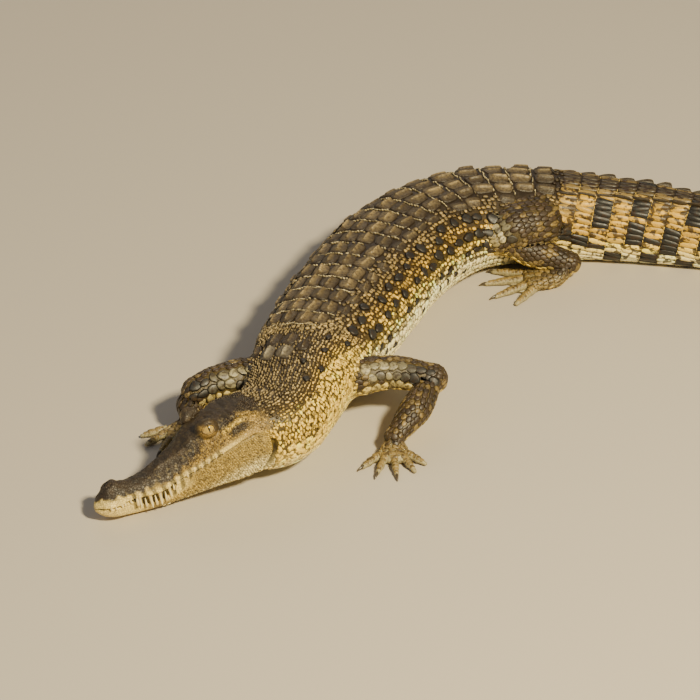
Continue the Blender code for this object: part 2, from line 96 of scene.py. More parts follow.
# %% A small function adds one node with its settings and its links
def feed(node, feeds):
    """Join sockets of a node to outputs, or give them values; a node means its first output."""
    for socket, source in feeds.items():
        if isinstance(source, bpy.types.Node):
            source = source.outputs[0]
        if isinstance(source, bpy.types.NodeSocket):
            node.id_data.links.new(source, node.inputs[socket])
        else:
            node.inputs[socket].default_value = source


def add_node(tree, kind, feeds=None, **settings):
    """Add a shader node; settings go to its properties or sockets, feeds to sockets only."""
    node = tree.nodes.new("ShaderNode" + kind)
    for name, value in settings.items():
        if hasattr(node, name):
            setattr(node, name, value)
        else:
            node.inputs[name.replace("_", " ")].default_value = value
    feed(node, feeds or {})
    return node


def new_material(name, **settings):
    """A material with a Principled shader; returns it, the shader and what adds its nodes."""
    material = bpy.data.materials.new(name)
    material.use_nodes = True
    shader = material.node_tree.nodes["Principled BSDF"]
    for key, value in settings.items():
        shader.inputs[key.replace("_", " ")].default_value = value
    return material, shader, partial(add_node, material.node_tree)


# %% A finished bmesh becomes an object
def new_object(name, bm, material=None, smooth=True):
    """Turn a bmesh into an object of the scene."""
    mesh = bpy.data.meshes.new(name)
    bm.to_mesh(mesh)
    bm.free()
    if smooth:
        mesh.polygons.foreach_set("use_smooth", [True] * len(mesh.polygons))
    if material:
        mesh.materials.append(material)
    return add_to_scene(name, mesh)


# %% Floor and lamps
LAMP_TARGET = Vector((0, -0.1, 0.05))       # the middle of the animal


def lamp(name, place, size, watts, colour):
    """A square area lamp that looks at the middle of the animal."""
    data = bpy.data.lights.new(name, "AREA")
    data.size = size
    data.energy = watts
    data.color = tuple(linear(colour))
    thing = add_to_scene(name, data)
    thing.location = place
    thing.rotation_euler = (LAMP_TARGET - Vector(place)).to_track_quat("-Z", "Y").to_euler()


lamp("sun_lamp", (1.5, -2.5, 2.9), 0.42, 330, "#fff0c4")
lamp("fill_lamp", (-2.8, -1.6, 2.0), 2.6, 14, "#e6ecfa")
lamp("rear_lamp", (-0.6, 2.8, 2.4), 1.8, 22, "#fff4e2")

world = bpy.data.worlds.new("studio")
world.use_nodes = True
sky = world.node_tree.nodes["Background"]
feed(sky, {"Color": (0.82, 0.85, 0.9, 1), "Strength": 0.2})
bpy.context.scene.world = world

bm = bmesh.new()
bmesh.ops.create_grid(bm, x_segments=1, y_segments=1, size=9)
bmesh.ops.translate(bm, verts=bm.verts[:], vec=(0, 0, -0.0002))
floor_paint = new_material("matt_studio_paint", Base_Color=rgba("#bdb3a4"), Roughness=0.9)[0]
new_object("floor", bm, floor_paint, smooth=False)

# %% [markdown]
# ## The body as a map
# A place on the body is a pair of numbers.  The *station* is the distance back from the tip of
# the snout.  The *share* runs round the body: 0 is the middle of the back, 1 the widest line of
# the left side (on the head, the line of the mouth), 2 the middle of the belly; the right side is
# negative.  The same short schedules as in the solids turn this map into points, so that skin,
# scales and markings all lie in the same place.

# %% Driving dimensions and schedules, the same as the solids'
TOTAL_LENGTH = 1.85
NECK_START = 0.233
TAIL_START = 0.985
BELLY_STATION = 0.66
HEAD_PITCH = 8.5
HEAD_ROLL = 13.0
SNOUT_HEIGHT = 0.031
LOWER_JAW_INSET = 0.0035
TOOTH_PITCH = 0.013
EYE_STATION = 0.164
EYE_RADIUS = 0.0105
SCUTE_PITCH = 0.031

# heading of the spine, degrees from +X, seen from above: (station, heading)
HEADINGS = ((0.233, 30.5), (0.262, 45), (0.295, 67), (0.36, 76), (0.46, 70), (0.58, 69),
            (0.70, 62), (0.80, 40.5), (0.90, 9), (1.05, -8), (1.25, -17), (1.50, -3), (1.85, 10))

# height of the spine axis behind the head: (station, z)
HEIGHTS = ((0.233, 0.0654), (0.259, 0.0685), (0.30, 0.0730), (0.36, 0.0750), (0.41, 0.0715),
           (0.46, 0.0670), (0.56, 0.0615), (0.66, 0.0580), (0.78, 0.0550), (0.87, 0.0530),
           (0.95, 0.0510), (1.03, 0.0490), (1.15, 0.0460), (1.30, 0.0400), (1.50, 0.0310),
           (1.70, 0.0200), (1.85, 0.0050))

# cross-sections: (station, half width, below axis, above axis, widest level, roundness of the
# top and of the underside, taper of the top)
SECTIONS = (
    (0.000, 0.0030, 0.0150, -0.0060, -0.0105, 2.2, 2.2, 0.10),
    (0.004, 0.0095, 0.0205, -0.0020, -0.0108, 2.3, 2.4, 0.15),
    (0.009, 0.0150, 0.0250, 0.0030, -0.0112, 2.4, 2.6, 0.22),
    (0.019, 0.0200, 0.0295, 0.0110, -0.0118, 2.4, 2.8, 0.32),
    (0.028, 0.0218, 0.0320, 0.0150, -0.0124, 2.4, 2.8, 0.35),
    (0.040, 0.0202, 0.0352, 0.0118, -0.0116, 2.3, 2.8, 0.25),
    (0.052, 0.0200, 0.0380, 0.0075, -0.0138, 2.3, 2.8, 0.15),
    (0.071, 0.0235, 0.0405, 0.0075, -0.0160, 2.3, 3.0, 0.15),
    (0.085, 0.0255, 0.0420, 0.0100, -0.0165, 2.3, 3.0, 0.18),
    (0.104, 0.0275, 0.0430, 0.0155, -0.0120, 2.3, 3.2, 0.32),
    (0.123, 0.0322, 0.0435, 0.0235, -0.0075, 2.5, 3.4, 0.42),
    (0.142, 0.0380, 0.0435, 0.0335, -0.0030, 2.7, 3.6, 0.46),
    (0.162, 0.0438, 0.0440, 0.0410, 0.0040, 2.9, 3.8, 0.44),
    (0.180, 0.0485, 0.0455, 0.0450, 0.0090, 3.0, 3.8, 0.38),
    (0.200, 0.0515, 0.0475, 0.0470, 0.0140, 3.0, 3.6, 0.30),
    (0.218, 0.0525, 0.0490, 0.0475, 0.0155, 2.9, 3.2, 0.24),
    (0.233, 0.0545, 0.0550, 0.0450, 0.0130, 2.7, 2.8, 0.18),
    (0.259, 0.0600, 0.0625, 0.0415, 0.0060, 2.4, 2.5, 0.10),
    (0.300, 0.0620, 0.0670, 0.0415, 0.0000, 2.3, 2.4, 0.05),
    (0.360, 0.0690, 0.0675, 0.0440, 0.0000, 2.3, 2.3, 0.00),
    (0.410, 0.0755, 0.0645, 0.0490, 0.0000, 2.3, 2.3, 0.00),
    (0.460, 0.0810, 0.0630, 0.0540, 0.0000, 2.3, 2.3, 0.00),
    (0.560, 0.0865, 0.0610, 0.0585, 0.0000, 2.3, 2.2, 0.00),
    (0.660, 0.0875, 0.0595, 0.0610, 0.0000, 2.3, 2.2, 0.00),
    (0.780, 0.0840, 0.0565, 0.0625, 0.0000, 2.3, 2.3, 0.00),
    (0.870, 0.0760, 0.0545, 0.0640, 0.0000, 2.3, 2.4, 0.00),
    (0.950, 0.0640, 0.0525, 0.0635, 0.0000, 2.4, 2.5, 0.05),
    (1.030, 0.0540, 0.0505, 0.0600, 0.0000, 2.4, 2.5, 0.12),
    (1.150, 0.0430, 0.0475, 0.0555, 0.0000, 2.4, 2.5, 0.22),
    (1.300, 0.0325, 0.0415, 0.0490, 0.0000, 2.3, 2.4, 0.32),
    (1.500, 0.0215, 0.0325, 0.0390, 0.0000, 2.2, 2.3, 0.40),
    (1.700, 0.0120, 0.0215, 0.0250, 0.0000, 2.1, 2.2, 0.40),
    (1.850, 0.0020, 0.0055, 0.0020, 0.0000, 2.0, 2.0, 0.00))


def schedule(table, x):
    """Smooth values between the rows of a schedule, never overshooting a row."""
    t = np.asarray(table, float)
    xs, ys = t[:, 0], t[:, 1:]
    h = np.diff(xs)[:, None]
    d = np.diff(ys, axis=0) / h
    m = np.zeros_like(ys)
    with np.errstate(divide="ignore", invalid="ignore"):
        mean = 3 * (h[:-1] + h[1:]) / ((2 * h[1:] + h[:-1]) / d[:-1] + (h[1:] + 2 * h[:-1]) / d[1:])
    m[1:-1] = np.where(d[:-1] * d[1:] > 0, mean, 0)
    m[0], m[-1] = d[0], d[-1]
    x = np.clip(np.atleast_1d(np.asarray(x, float)), xs[0], xs[-1])
    i = np.clip(np.searchsorted(xs, x) - 1, 0, len(xs) - 2)
    w = (xs[i + 1] - xs[i])[:, None]
    u = (x - xs[i])[:, None] / w
    return ((2 * u**3 - 3 * u**2 + 1) * ys[i] + (u**3 - 2 * u**2 + u) * w * m[i]
            + (-2 * u**3 + 3 * u**2) * ys[i + 1] + (u**3 - u**2) * w * m[i + 1])


# %% The spine: points and directions at every millimetre
def lay_spine():
    """Stations, points and the three unit directions: to the tail, to the left, and up."""
    s = np.linspace(0.0, TOTAL_LENGTH, 1851)
    heading = np.radians(schedule(HEADINGS, s)[:, 0])
    z = schedule(HEIGHTS, s)[:, 0]
    head = s < NECK_START
    z[head] = SNOUT_HEIGHT + s[head] * math.sin(math.radians(HEAD_PITCH))
    pitch = np.where(head, math.radians(HEAD_PITCH), np.arcsin(np.clip(np.gradient(z, s), -.4, .4)))
    settle = np.clip((s - NECK_START + 0.02) / 0.06, 0, 1)
    pitch = np.where(settle < 1, math.radians(HEAD_PITCH) * (1 - settle) + pitch * settle, pitch)
    flat = np.stack([np.cos(heading), np.sin(heading), 0 * s], 1)
    back = flat * np.cos(pitch)[:, None] + np.array([0, 0, 1.0]) * np.sin(pitch)[:, None]
    step = (flat * np.cos(pitch)[:, None])[:-1] * np.diff(s)[:, None]
    point = np.concatenate([np.zeros((1, 3)), np.cumsum(step, 0)])
    point -= point[np.argmin(abs(s - BELLY_STATION))]
    point[:, 2] = z
    left = np.stack([np.sin(heading), -np.cos(heading), 0 * s], 1)
    up = np.cross(back, left)
    up *= np.sign(up[:, 2:3])
    roll = np.radians(HEAD_ROLL) * np.clip((0.42 - s) / (0.42 - NECK_START), 0, 1)
    c, n = np.cos(roll)[:, None], np.sin(roll)[:, None]
    return s, point, back, left * c + up * n, up * c - left * n


SPINE = lay_spine()
SECTION_ROWS = schedule(SECTIONS, SPINE[0])


def read_rows(rows, s):
    """Rows kept at every millimetre, read at any stations."""
    i = np.clip((s * 1000).astype(int), 0, len(rows) - 2)
    u = (s * 1000 - i)[:, None]
    return rows[i] * (1 - u) + rows[i + 1] * u


def spine_at(s):
    s = np.clip(np.atleast_1d(np.asarray(s, float)), 0, TOTAL_LENGTH)
    return [read_rows(rows, s) for rows in SPINE[1:]]


# %% From a place on the map to a point
def outline(values, angle, inset=0.0):
    """x to the side and z up, of a section's outline; angle 0 is the side and 90 degrees the back."""
    w, below, above, level, n_top, n_under, taper = np.moveaxis(values, -1, 0)
    c, n = np.cos(angle), np.sin(angle)
    top = n >= 0
    w = np.where(top, w, w - inset)
    e = 2 / np.where(top, n_top, n_under)
    f = np.abs(n) ** e
    x = w * np.abs(c) ** e * np.where(top, 1 - taper * f, 1)
    z = level + np.where(top, (above - level) * f, -(level + below) * f)
    return x, z


QUARTER = 48                                # steps in the share tables


def share_tables():
    """For each station the angle at equal steps of arc, from the side up and from the side down."""
    fine = np.radians(np.linspace(0, 90, 241))
    tables, lengths = [], []
    for sign in (1, -1):
        x, z = outline(SECTION_ROWS[:, None, :], sign * fine[None, :])
        run = np.concatenate([np.zeros((len(x), 1)),
                              np.cumsum(np.hypot(np.diff(x, axis=1), np.diff(z, axis=1)), 1)], 1)
        lengths.append(run[:, -1])
        even = np.linspace(0, 1, QUARTER + 1)
        tables.append(np.array([np.interp(even, r / r[-1], fine) for r in run]))
    return tables, lengths


(TOP_TABLE, UNDER_TABLE), (TOP_ARC, UNDER_ARC) = share_tables()


def angle_at(s, share):
    """Angle from the side, positive above the widest line, for a share of either sign."""
    m = np.abs(share)
    rows = np.clip(np.rint(s * 1000).astype(int), 0, len(TOP_ARC) - 1)
    u = np.clip(np.where(m <= 1, 1 - m, m - 1), 0, 1) * QUARTER
    i = np.minimum(u.astype(int), QUARTER - 1)
    t = u - i
    up = TOP_TABLE[rows, i] * (1 - t) + TOP_TABLE[rows, i + 1] * t
    down = UNDER_TABLE[rows, i] * (1 - t) + UNDER_TABLE[rows, i + 1] * t
    return np.where(m <= 1, up, -down)


def jaw_inset(s):
    return LOWER_JAW_INSET * np.clip((0.22 - s) / 0.03, 0, 1) * np.clip(s / 0.006, 0, 1)


def hill(x, middle, width):
    """A smooth hill of height 1."""
    return np.exp(-((x - middle) / width) ** 2)


def body_point(s, share):
    """Points of the solids' surface at stations and shares."""
    s, share = np.broadcast_arrays(np.asarray(s, float), np.asarray(share, float))
    s, share = s.ravel(), share.ravel()
    s = np.clip(s, 0, TOTAL_LENGTH)
    share = (share + 2) % 4 - 2
    values = read_rows(SECTION_ROWS, s)
    x, z = outline(values, angle_at(s, share), np.minimum(jaw_inset(s), 0.3 * values[:, 0]))
    brow = 0.0045 * hill(s, 0.165, 0.019) * hill(x, 0.024, 0.008)
    table = 0.002 * hill(s, 0.203, 0.019) * hill(x, 0.032, 0.008)
    lift = np.where(np.abs(share) < 1, np.sin(np.abs(angle_at(s, share))), 0)
    z = z + (brow + table) * lift
    p, _, left, up = spine_at(s)
    q = p + (x * np.where(share >= 0, 1, -1))[:, None] * left + z[:, None] * up
    q[:, 2] = np.maximum(q[:, 2], 0)
    return q


def body_normal(s, share):
    """Outward unit normals of the body."""
    s, share = np.asarray(s, float).ravel(), np.asarray(share, float).ravel()
    ds, dh = 0.0012, 0.02
    a = body_point(s + ds, share) - body_point(s - ds, share)
    b = body_point(s, share + dh) - body_point(s, share - dh)
    n = np.cross(a, b)
    n /= np.maximum(np.linalg.norm(n, axis=1), 1e-12)[:, None]
    out = body_point(s, share) - spine_at(s)[0]
    return n * np.sign((n * out).sum(1))[:, None]


def girth(s):
    """Length of the outline from the middle of the back to the side, and from there to the belly."""
    i = np.clip(np.rint(np.asarray(s) * 1000).astype(int), 0, len(TOP_ARC) - 1)
    return TOP_ARC[i], UNDER_ARC[i]


def share_of(s, away):
    """The share of a place that lies a distance in metres from the middle of the back."""
    top, under = girth(s)
    m = np.abs(away)
    return np.sign(away) * np.where(m <= top, m / top, 1 + (m - top) / under)


def away_of(s, share):
    """Metres from the middle of the back, round the body, for a share."""
    top, under = girth(s)
    m = np.abs(share)
    return np.where(m <= 1, m * top, top + (m - 1) * under)


print("half girth of the chest: %.0f mm" % (1000 * sum(girth(0.6))))

# %% The trunk is rolled a little on its right side
# (station, metres from the top of the back to the animal's own mid-back; negative is to the right)
ROLL = ((0.235, 0.0), (0.27, -0.01), (0.305, -0.02), (0.35, -0.028), (0.45, -0.028),
        (0.65, -0.025), (0.85, -0.015), (0.97, -0.005), (1.08, 0.0))


def roll_away(s):
    return np.interp(s, *np.array(ROLL).T)


def wrapped_share(s, away):
    """The share of a place whose distance round the body may run past the middle of the belly."""
    whole = sum(girth(s))
    return share_of(s, (away + whole) % (2 * whole) - whole)


def own_share(s, share):
    """The share counted from the animal's own mid-back instead of the top of the map."""
    return wrapped_share(s, np.sign(share) * away_of(s, share) - roll_away(s))

# %% [markdown]
# ## The forms of the head
# The sections give the skull's bulk.  What makes it a saltwater crocodile are the small forms on
# top of that: two ridges that run from the eyes down the snout, the raised nostril disc, the
# wavy lips over a narrower lower jaw, the edge of the skull table with the ear slit beneath it,
# and the deep crease behind the jaw.  Each is a line on the map with a width and a height; a
# negative height cuts a groove.


# %% Lines raised on or cut into the head
def near_line(a, b, line):
    """Distance of places (a, b) from a broken line, and how far along it they lie, 0 to 1."""
    best, along = np.full(a.shape, 9.0), np.zeros(a.shape)
    n = len(line) - 1
    for k, ((a0, b0), (a1, b1)) in enumerate(zip(line, line[1:])):
        da, db = a1 - a0, b1 - b0
        t = np.clip(((a - a0) * da + (b - b0) * db) / (da * da + db * db), 0, 1)
        d = np.hypot(a - a0 - t * da, b - b0 - t * db)
        along = np.where(d < best, (k + t) / n, along)
        best = np.minimum(d, best)
    return best, along


# ((station, metres from the middle of the back), ...), width, height
TOP_FORMS = (
    (((0.084, 0.007), (0.104, 0.0105), (0.128, 0.016), (0.15, 0.022)), 0.0026, 0.0021),
    (((0.15, 0.022), (0.168, 0.027), (0.186, 0.031), (0.218, 0.037)), 0.004, 0.0008),
    (((0.1, 0.001), (0.13, 0.002), (0.146, 0.003)), 0.005, -0.0009),
    (((0.156, 0.0), (0.176, 0.0)), 0.009, -0.0016),
    (((0.136, 0.012), (0.147, 0.015), (0.153, 0.018), (0.158, 0.024)), 0.0062, 0.0044),
    (((0.186, 0.0), (0.212, 0.0)), 0.012, -0.0009),
    (((0.0165, 0.0), (0.0195, 0.007), (0.0265, 0.0095), (0.033, 0.006), (0.035, 0.0)),
     0.0026, 0.0013),
    (((0.02, 0.0028), (0.0225, 0.0052), (0.0262, 0.0056)), 0.0012, -0.0032),
    (((0.042, 0.0), (0.045, 0.008)), 0.004, -0.0008),
    (((0.19, 0.0395), (0.206, 0.0415), (0.2185, 0.0425)), 0.0032, 0.0021),
    (((0.222, 0.0), (0.2245, 0.02), (0.2245, 0.036), (0.2225, 0.046)), 0.0028, -0.0022))
# the same with metres above the line of the mouth
JAW_CREASE = ((0.206, -0.066), (0.214, -0.06), (0.223, -0.052), (0.229, -0.038),
              (0.234, -0.028), (0.234, -0.014))
SIDE_FORMS = (
    (((0.184, 0.029), (0.198, 0.03), (0.2125, 0.029), (0.216, 0.0255)), 0.0012, -0.003),
    (((0.186, 0.0255), (0.198, 0.0262), (0.21, 0.025)), 0.0018, 0.0012),
    (((0.196, 0.013), (0.21, 0.014)), 0.01, 0.0014),
    (JAW_CREASE, 0.002, -0.0056),
    (((0.206, -0.052), (0.219, -0.036), (0.223, -0.026), (0.2205, -0.014)), 0.006, 0.002),
    (((0.233, -0.052), (0.241, -0.03), (0.24, -0.01), (0.233, 0.006)), 0.005, 0.0016),
    (((0.248, -0.034), (0.25, -0.016), (0.244, 0.002)), 0.0018, -0.0016),
    (((0.15, 0.014), (0.164, 0.0165), (0.178, 0.016)), 0.0016, -0.001),
    (((0.148, 0.01), (0.166, 0.011), (0.182, 0.011)), 0.003, 0.0008),
    (((0.12, -0.01), (0.16, -0.011), (0.2, -0.013)), 0.001, -0.0005),
    (((0.1, -0.018), (0.15, -0.02), (0.205, -0.022)), 0.001, -0.0006),
    (((0.13, -0.026), (0.17, -0.028), (0.212, -0.029)), 0.001, -0.0005))
# thirteen millimetres apart in front, closer together behind the bulge of the jaw
UPPER_TEETH = np.concatenate([0.015 + TOOTH_PITCH * np.arange(9), 0.119 + 0.0098 * np.arange(1, 6)])
# the gap between the lips is widest at the longest teeth and ends a reach away on either side
GAPE_AT, GAPE_REACH = 0.073, 0.04


def gape_width(s):
    return np.exp(-((s - GAPE_AT) / 0.026) ** 4)


def gape_band(s, mouth):
    """How far inside the open gap between the lips a place lies."""
    wide = gape_width(s)
    return 0.006 * wide - 0.0003 - np.abs(mouth + 0.0004 + 0.0058 * wide)


def in_gape(s):
    return np.abs(s - GAPE_AT) < GAPE_REACH


def tooth_wave(s):
    """1 over every upper tooth and 0 half way between two."""
    return 0.5 + 0.5 * np.cos(np.interp(s, UPPER_TEETH, np.arange(len(UPPER_TEETH))) * math.tau)


def head_forms(s, share):
    """How far the skin stands out from the plain section, in metres."""
    away = away_of(s, share)
    mouth = girth(s)[0] - away
    rise = np.zeros(s.shape)
    for forms, across in ((TOP_FORMS, away), (SIDE_FORMS, mouth)):
        for line, width, height in forms:
            d, along = near_line(s, across, line)
            ends = 1 if height < -0.0025 else np.clip(4 * np.minimum(along, 1 - along) + 0.35, 0, 1)
            rise += height * ends * hill(d, 0, width)
    # the upper lip: a scallop over each tooth, a bulge over the longest and a notch before it
    lips = np.clip((0.214 - s) / 0.02, 0, 1) * np.clip((s - 0.004) / 0.01, 0, 1)
    scallop = np.interp(s, (0.09, 0.13), (0.0019, 0.0009)) * tooth_wave(s)
    rise += lips * hill(mouth, 0.0042, 0.004) * (0.0001 + scallop)
    rise -= 0.0026 * np.clip(gape_band(s, mouth) / 0.0009 + 0.5, 0, 1) * in_gape(s)
    rise += 0.0016 * hill(s, 0.074, 0.012) * hill(mouth, 0.003, 0.006)
    rise -= 0.0012 * hill(s, 0.05, 0.005) * hill(mouth, 0.002, 0.005)
    # the lower lip: a soft roll, and a bulge round the lower dog tooth
    rise += lips * hill(mouth, -0.004, 0.0022) * 0.0007
    rise += 0.0016 * hill(s, 0.046, 0.005) * hill(mouth, -0.004, 0.004)
    # the slit of the mouth itself
    slit = np.clip((0.219 - s) / 0.01, 0, 1) * np.clip((s - 0.0025) / 0.003, 0, 1)
    return rise - slit * 0.0052 * hill(mouth, -0.0003, 0.00055)


def lumps(points, size, height, octaves=3):
    """Low random swellings of a given size over points."""
    return np.array([noise.fractal(Vector(p) / size, 0.9, 2.1, octaves) for p in points]) * height


# %% [markdown]
# ## One skin
# The skin starts as a flat grid of squares.  Each grid point is moved to its place on the map, and
# the two long edges meet under the belly and are welded.  The legs are tubes through the same
# joints as the solids' legs, with a palm, toes and webs.  A Boolean joins them all, and the
# joints are smoothed until arm and chest run into each other.

# %% How deep the skin lies under the tips of the scales
SKIN_DEPTH = ((0.0, 0.0002), (0.2, 0.0003), (0.25, 0.0012), (0.33, 0.0017), (0.985, 0.0018),
              (1.5, 0.0014), (1.85, 0.0006))
COLUMNS = 128                               # squares round the body


def skin_depth(s):
    return np.interp(s, *np.array(SKIN_DEPTH).T)


def body_stations():
    """Ring places: close together at the snout, a millimetre apart on the head, wider behind."""
    tip = 0.0108 * np.linspace(0, 1, 14) ** 1.7
    head, neck = np.arange(0.012, 0.245, 0.00115), np.arange(0.247, 0.335, 0.0028)
    return np.concatenate([tip, head, neck, np.arange(0.339, 1.845, 0.0056), [TOTAL_LENGTH - 0.0002]])


def points_of(mesh):
    co = np.zeros(len(mesh.vertices) * 3)
    mesh.vertices.foreach_get("co", co)
    return co.reshape(-1, 3)


def crowd_mouth(share, s):
    """Draw the columns of the head together at the line of the mouth."""
    m = np.abs(share)
    u = np.abs(m - 1)
    power = 1 + 0.38 * np.clip((0.26 - s) / 0.05, 0, 1)
    return np.sign(share) * (1 + np.sign(m - 1) * u ** power)


def close_tube(bm, gap):
    """Weld the long edges of a bent grid and close its two ends."""
    bmesh.ops.remove_doubles(bm, verts=bm.verts[:], dist=gap)
    bmesh.ops.holes_fill(bm, edges=[e for e in bm.edges if e.is_boundary], sides=0)
    bmesh.ops.poke(bm, faces=[f for f in bm.faces if len(f.verts) > 4])
    bmesh.ops.recalc_face_normals(bm, faces=bm.faces[:])


def body_skin():
    """The whole trunk, tail and head as one closed tube."""
    stations = body_stations()
    bm = bmesh.new()
    bmesh.ops.create_grid(bm, x_segments=len(stations) - 1, y_segments=COLUMNS, size=1)
    flat = np.array([v.co for v in bm.verts])
    row = np.rint((flat[:, 0] + 1) / 2 * (len(stations) - 1)).astype(int)
    s = stations[row]
    share = crowd_mouth(np.rint((flat[:, 1] + 1) / 2 * COLUMNS) / COLUMNS * 4 - 2, s)
    points, normals = body_point(s, share), body_normal(s, share)
    rise = np.where(s < 0.3, head_forms(s, share), 0) - skin_depth(s)
    bone = np.clip((0.24 - s) / 0.03, 0, 1) * (np.abs(share) < 0.86)
    rise += lumps(np.stack([s, share * 0.03, 0 * s], 1), 0.0085, 0.0011) * bone
    rise += lumps(points, 0.05, 0.0012, 2) * np.clip((s - 0.26) / 0.05, 0, 1)
    points = points + normals * rise[:, None]
    points[:, 2] = np.maximum(points[:, 2], 0.0006)
    for vert, place in zip(bm.verts, points):
        vert.co = place
    close_tube(bm, 0.00003)
    return new_object("hide", bm), points, s, share


hide, body_points, body_s, body_share = body_skin()
print("body skin:", len(hide.data.polygons), "faces")

# %% The limbs: the same joints and girths as the solids'
FORE_STATION = 0.375
HIND_STATION = 0.955
LIMBS = {
    "foreleg_left": dict(station=FORE_STATION, side=1, fore=True, heading=20, joints=(
        (-0.005, 0.028, 0.066), (-0.012, 0.058, 0.066), (-0.036, 0.107, 0.066),
        (-0.044, 0.16, 0.06), (0.004, 0.149, 0.042), (0.046, 0.131, 0.022),
        (0.06, 0.134, 0.0095), (0.072, 0.137, 0.0075))),
    "foreleg_right": dict(station=FORE_STATION, side=-1, fore=True, heading=12, joints=(
        (0.012, 0.028, 0.066), (0.024, 0.07, 0.067), (0.044, 0.104, 0.067),
        (0.062, 0.126, 0.061), (0.068, 0.131, 0.042), (0.071, 0.133, 0.022),
        (0.082, 0.142, 0.0095), (0.092, 0.15, 0.0075))),
    "hindleg_left": dict(station=HIND_STATION, side=1, fore=False, heading=16, joints=(
        (-0.01, 0.015, 0.066), (0.01, 0.045, 0.07), (0.042, 0.063, 0.07),
        (0.066, 0.074, 0.063), (0.016, 0.075, 0.042), (-0.034, 0.079, 0.026),
        (-0.01, 0.09, 0.0125), (0.022, 0.096, 0.0095))),
    "hindleg_right": dict(station=HIND_STATION, side=-1, fore=False, heading=24, joints=(
        (-0.012, 0.015, 0.057), (-0.002, 0.042, 0.055), (0.022, 0.063, 0.051),
        (0.046, 0.078, 0.046), (-0.004, 0.086, 0.036), (-0.052, 0.096, 0.024),
        (-0.028, 0.107, 0.0125), (0.004, 0.118, 0.0095)))}
# half width and half height of the limb at each joint
FORE_GIRTH = ((0.03, 0.028), (0.028, 0.026), (0.0225, 0.0215), (0.02, 0.0195),
              (0.0205, 0.0195), (0.014, 0.0125), (0.019, 0.01), (0.017, 0.008))
HIND_GIRTH = ((0.036, 0.034), (0.038, 0.037), (0.035, 0.034), (0.025, 0.0245),
              (0.023, 0.0215), (0.0155, 0.015), (0.0205, 0.0125), (0.022, 0.0095))
# toes: spread angle, length, clawed
FORE_TOES = ((-52, 0.021, True), (-24, 0.029, True), (0, 0.032, True), (24, 0.028, False),
             (50, 0.02, False))
HIND_TOES = ((-34, 0.044, True), (-11, 0.054, True), (12, 0.052, True), (36, 0.04, False))
CLAW_LENGTH = 0.0115
CLAW_RADIUS = 0.0026
LIMB_DEPTH = 0.0011
LIMB_COLUMNS = 40


def limb_frame(spec):
    """Point on the floor under the spine, direction forward and direction outward."""
    p, back, left, _ = [v[0] for v in spine_at(spec["station"])]
    fore = Vector((-back[0], -back[1], 0)).normalized()
    out = Vector((left[0], left[1], 0)).normalized() * spec["side"]
    return Vector((p[0], p[1], 0)), fore, out


def sweep(joints, girth_rows, cap_start, cap_end, per):
    """Rings of a tube through joints; a capped end is rounded off."""
    ends = [joints[0] * 2 - joints[1]] + list(joints) + [joints[-1] * 2 - joints[-2]]
    rows = []
    for i in range(1, len(ends) - 2):
        a, b, c, d = ends[i - 1:i + 3]
        g0, g1 = girth_rows[i - 1], girth_rows[i]
        for k in range(per + (i == len(ends) - 3)):
            t = k / per
            q = 0.5 * (2 * b + (c - a) * t + (2 * a - 5 * b + 4 * c - d) * t * t
                       + (3 * b - a - 3 * c + d) * t**3)
            u = t * t * (3 - 2 * t)
            rows.append([q, g0[0] * (1 - u) + g1[0] * u, g0[1] * (1 - u) + g1[1] * u])
    rings = []
    for i, (q, w, h) in enumerate(rows):
        way = (rows[min(i + 1, len(rows) - 1)][0] - rows[max(i - 1, 0)][0]).normalized()
        side = way.cross(Vector((0, 0, 1))).normalized()
        rings.append((q, way, side, side.cross(way), w, h))
    round_off = [(math.sin(a) * 0.99, math.cos(a)) for a in np.radians((18, 36, 54, 70, 82))]
    if cap_start:
        q, way, side, rise, w, h = rings[0]
        rings = [(q - way * h * f, way, side, rise, w * r, h * r)
                 for f, r in round_off[::-1]] + rings
    if cap_end:
        q, way, side, rise, w, h = rings[-1]
        rings += [(q + way * h * f, way, side, rise, w * r, h * r) for f, r in round_off]
    return rings


def tube(name, rings, columns, depth=0.0, floor_height=0.0004):
    """A closed tube through rings: a grid bent round them and welded."""
    bm = bmesh.new()
    bmesh.ops.create_grid(bm, x_segments=len(rings) - 1, y_segments=columns, size=1)
    for v in bm.verts:
        q, _, side, rise, w, h = rings[round((v.co.x + 1) / 2 * (len(rings) - 1))]
        a = (v.co.y + 1) / 2 * math.tau
        wide, high = max(w - depth, 0.0001), max(h - depth, 0.0001)
        v.co = q + side * wide * math.cos(a) + rise * high * math.sin(a)
        v.co.z = max(v.co.z, floor_height)
    close_tube(bm, 0.00002)
    return new_object(name, bm)


# %% The three lengths of a leg, as rings that the scales will read too
def limb_lengths(spec):
    """Rings of the upper length, the lower length and the palm."""
    base, fore, out = limb_frame(spec)
    joints = [base + fore * f + out * o + Vector((0, 0, z)) for f, o, z in spec["joints"]]
    rows = FORE_GIRTH if spec["fore"] else HIND_GIRTH
    slim = [(w * 0.74, h * 0.74) for w, h in rows]
    upper = sweep(joints[:4], rows[:4], False, True, 12)
    lower = sweep(joints[3:6], (slim[3], rows[4], rows[5]), True, True, 14)
    palm = sweep(joints[5:], (slim[5], rows[6], rows[7]), True, False, 8)
    palm_end = palm[-1]
    for f, r in ((0.003, 0.93), (0.006, 0.72), (0.0075, 0.4)):
        q, way, side, rise, w, h = palm_end
        palm.append((q + way * f, way, side, rise, w * r, h * r))
    return upper, lower, palm, palm_end[0], fore, out


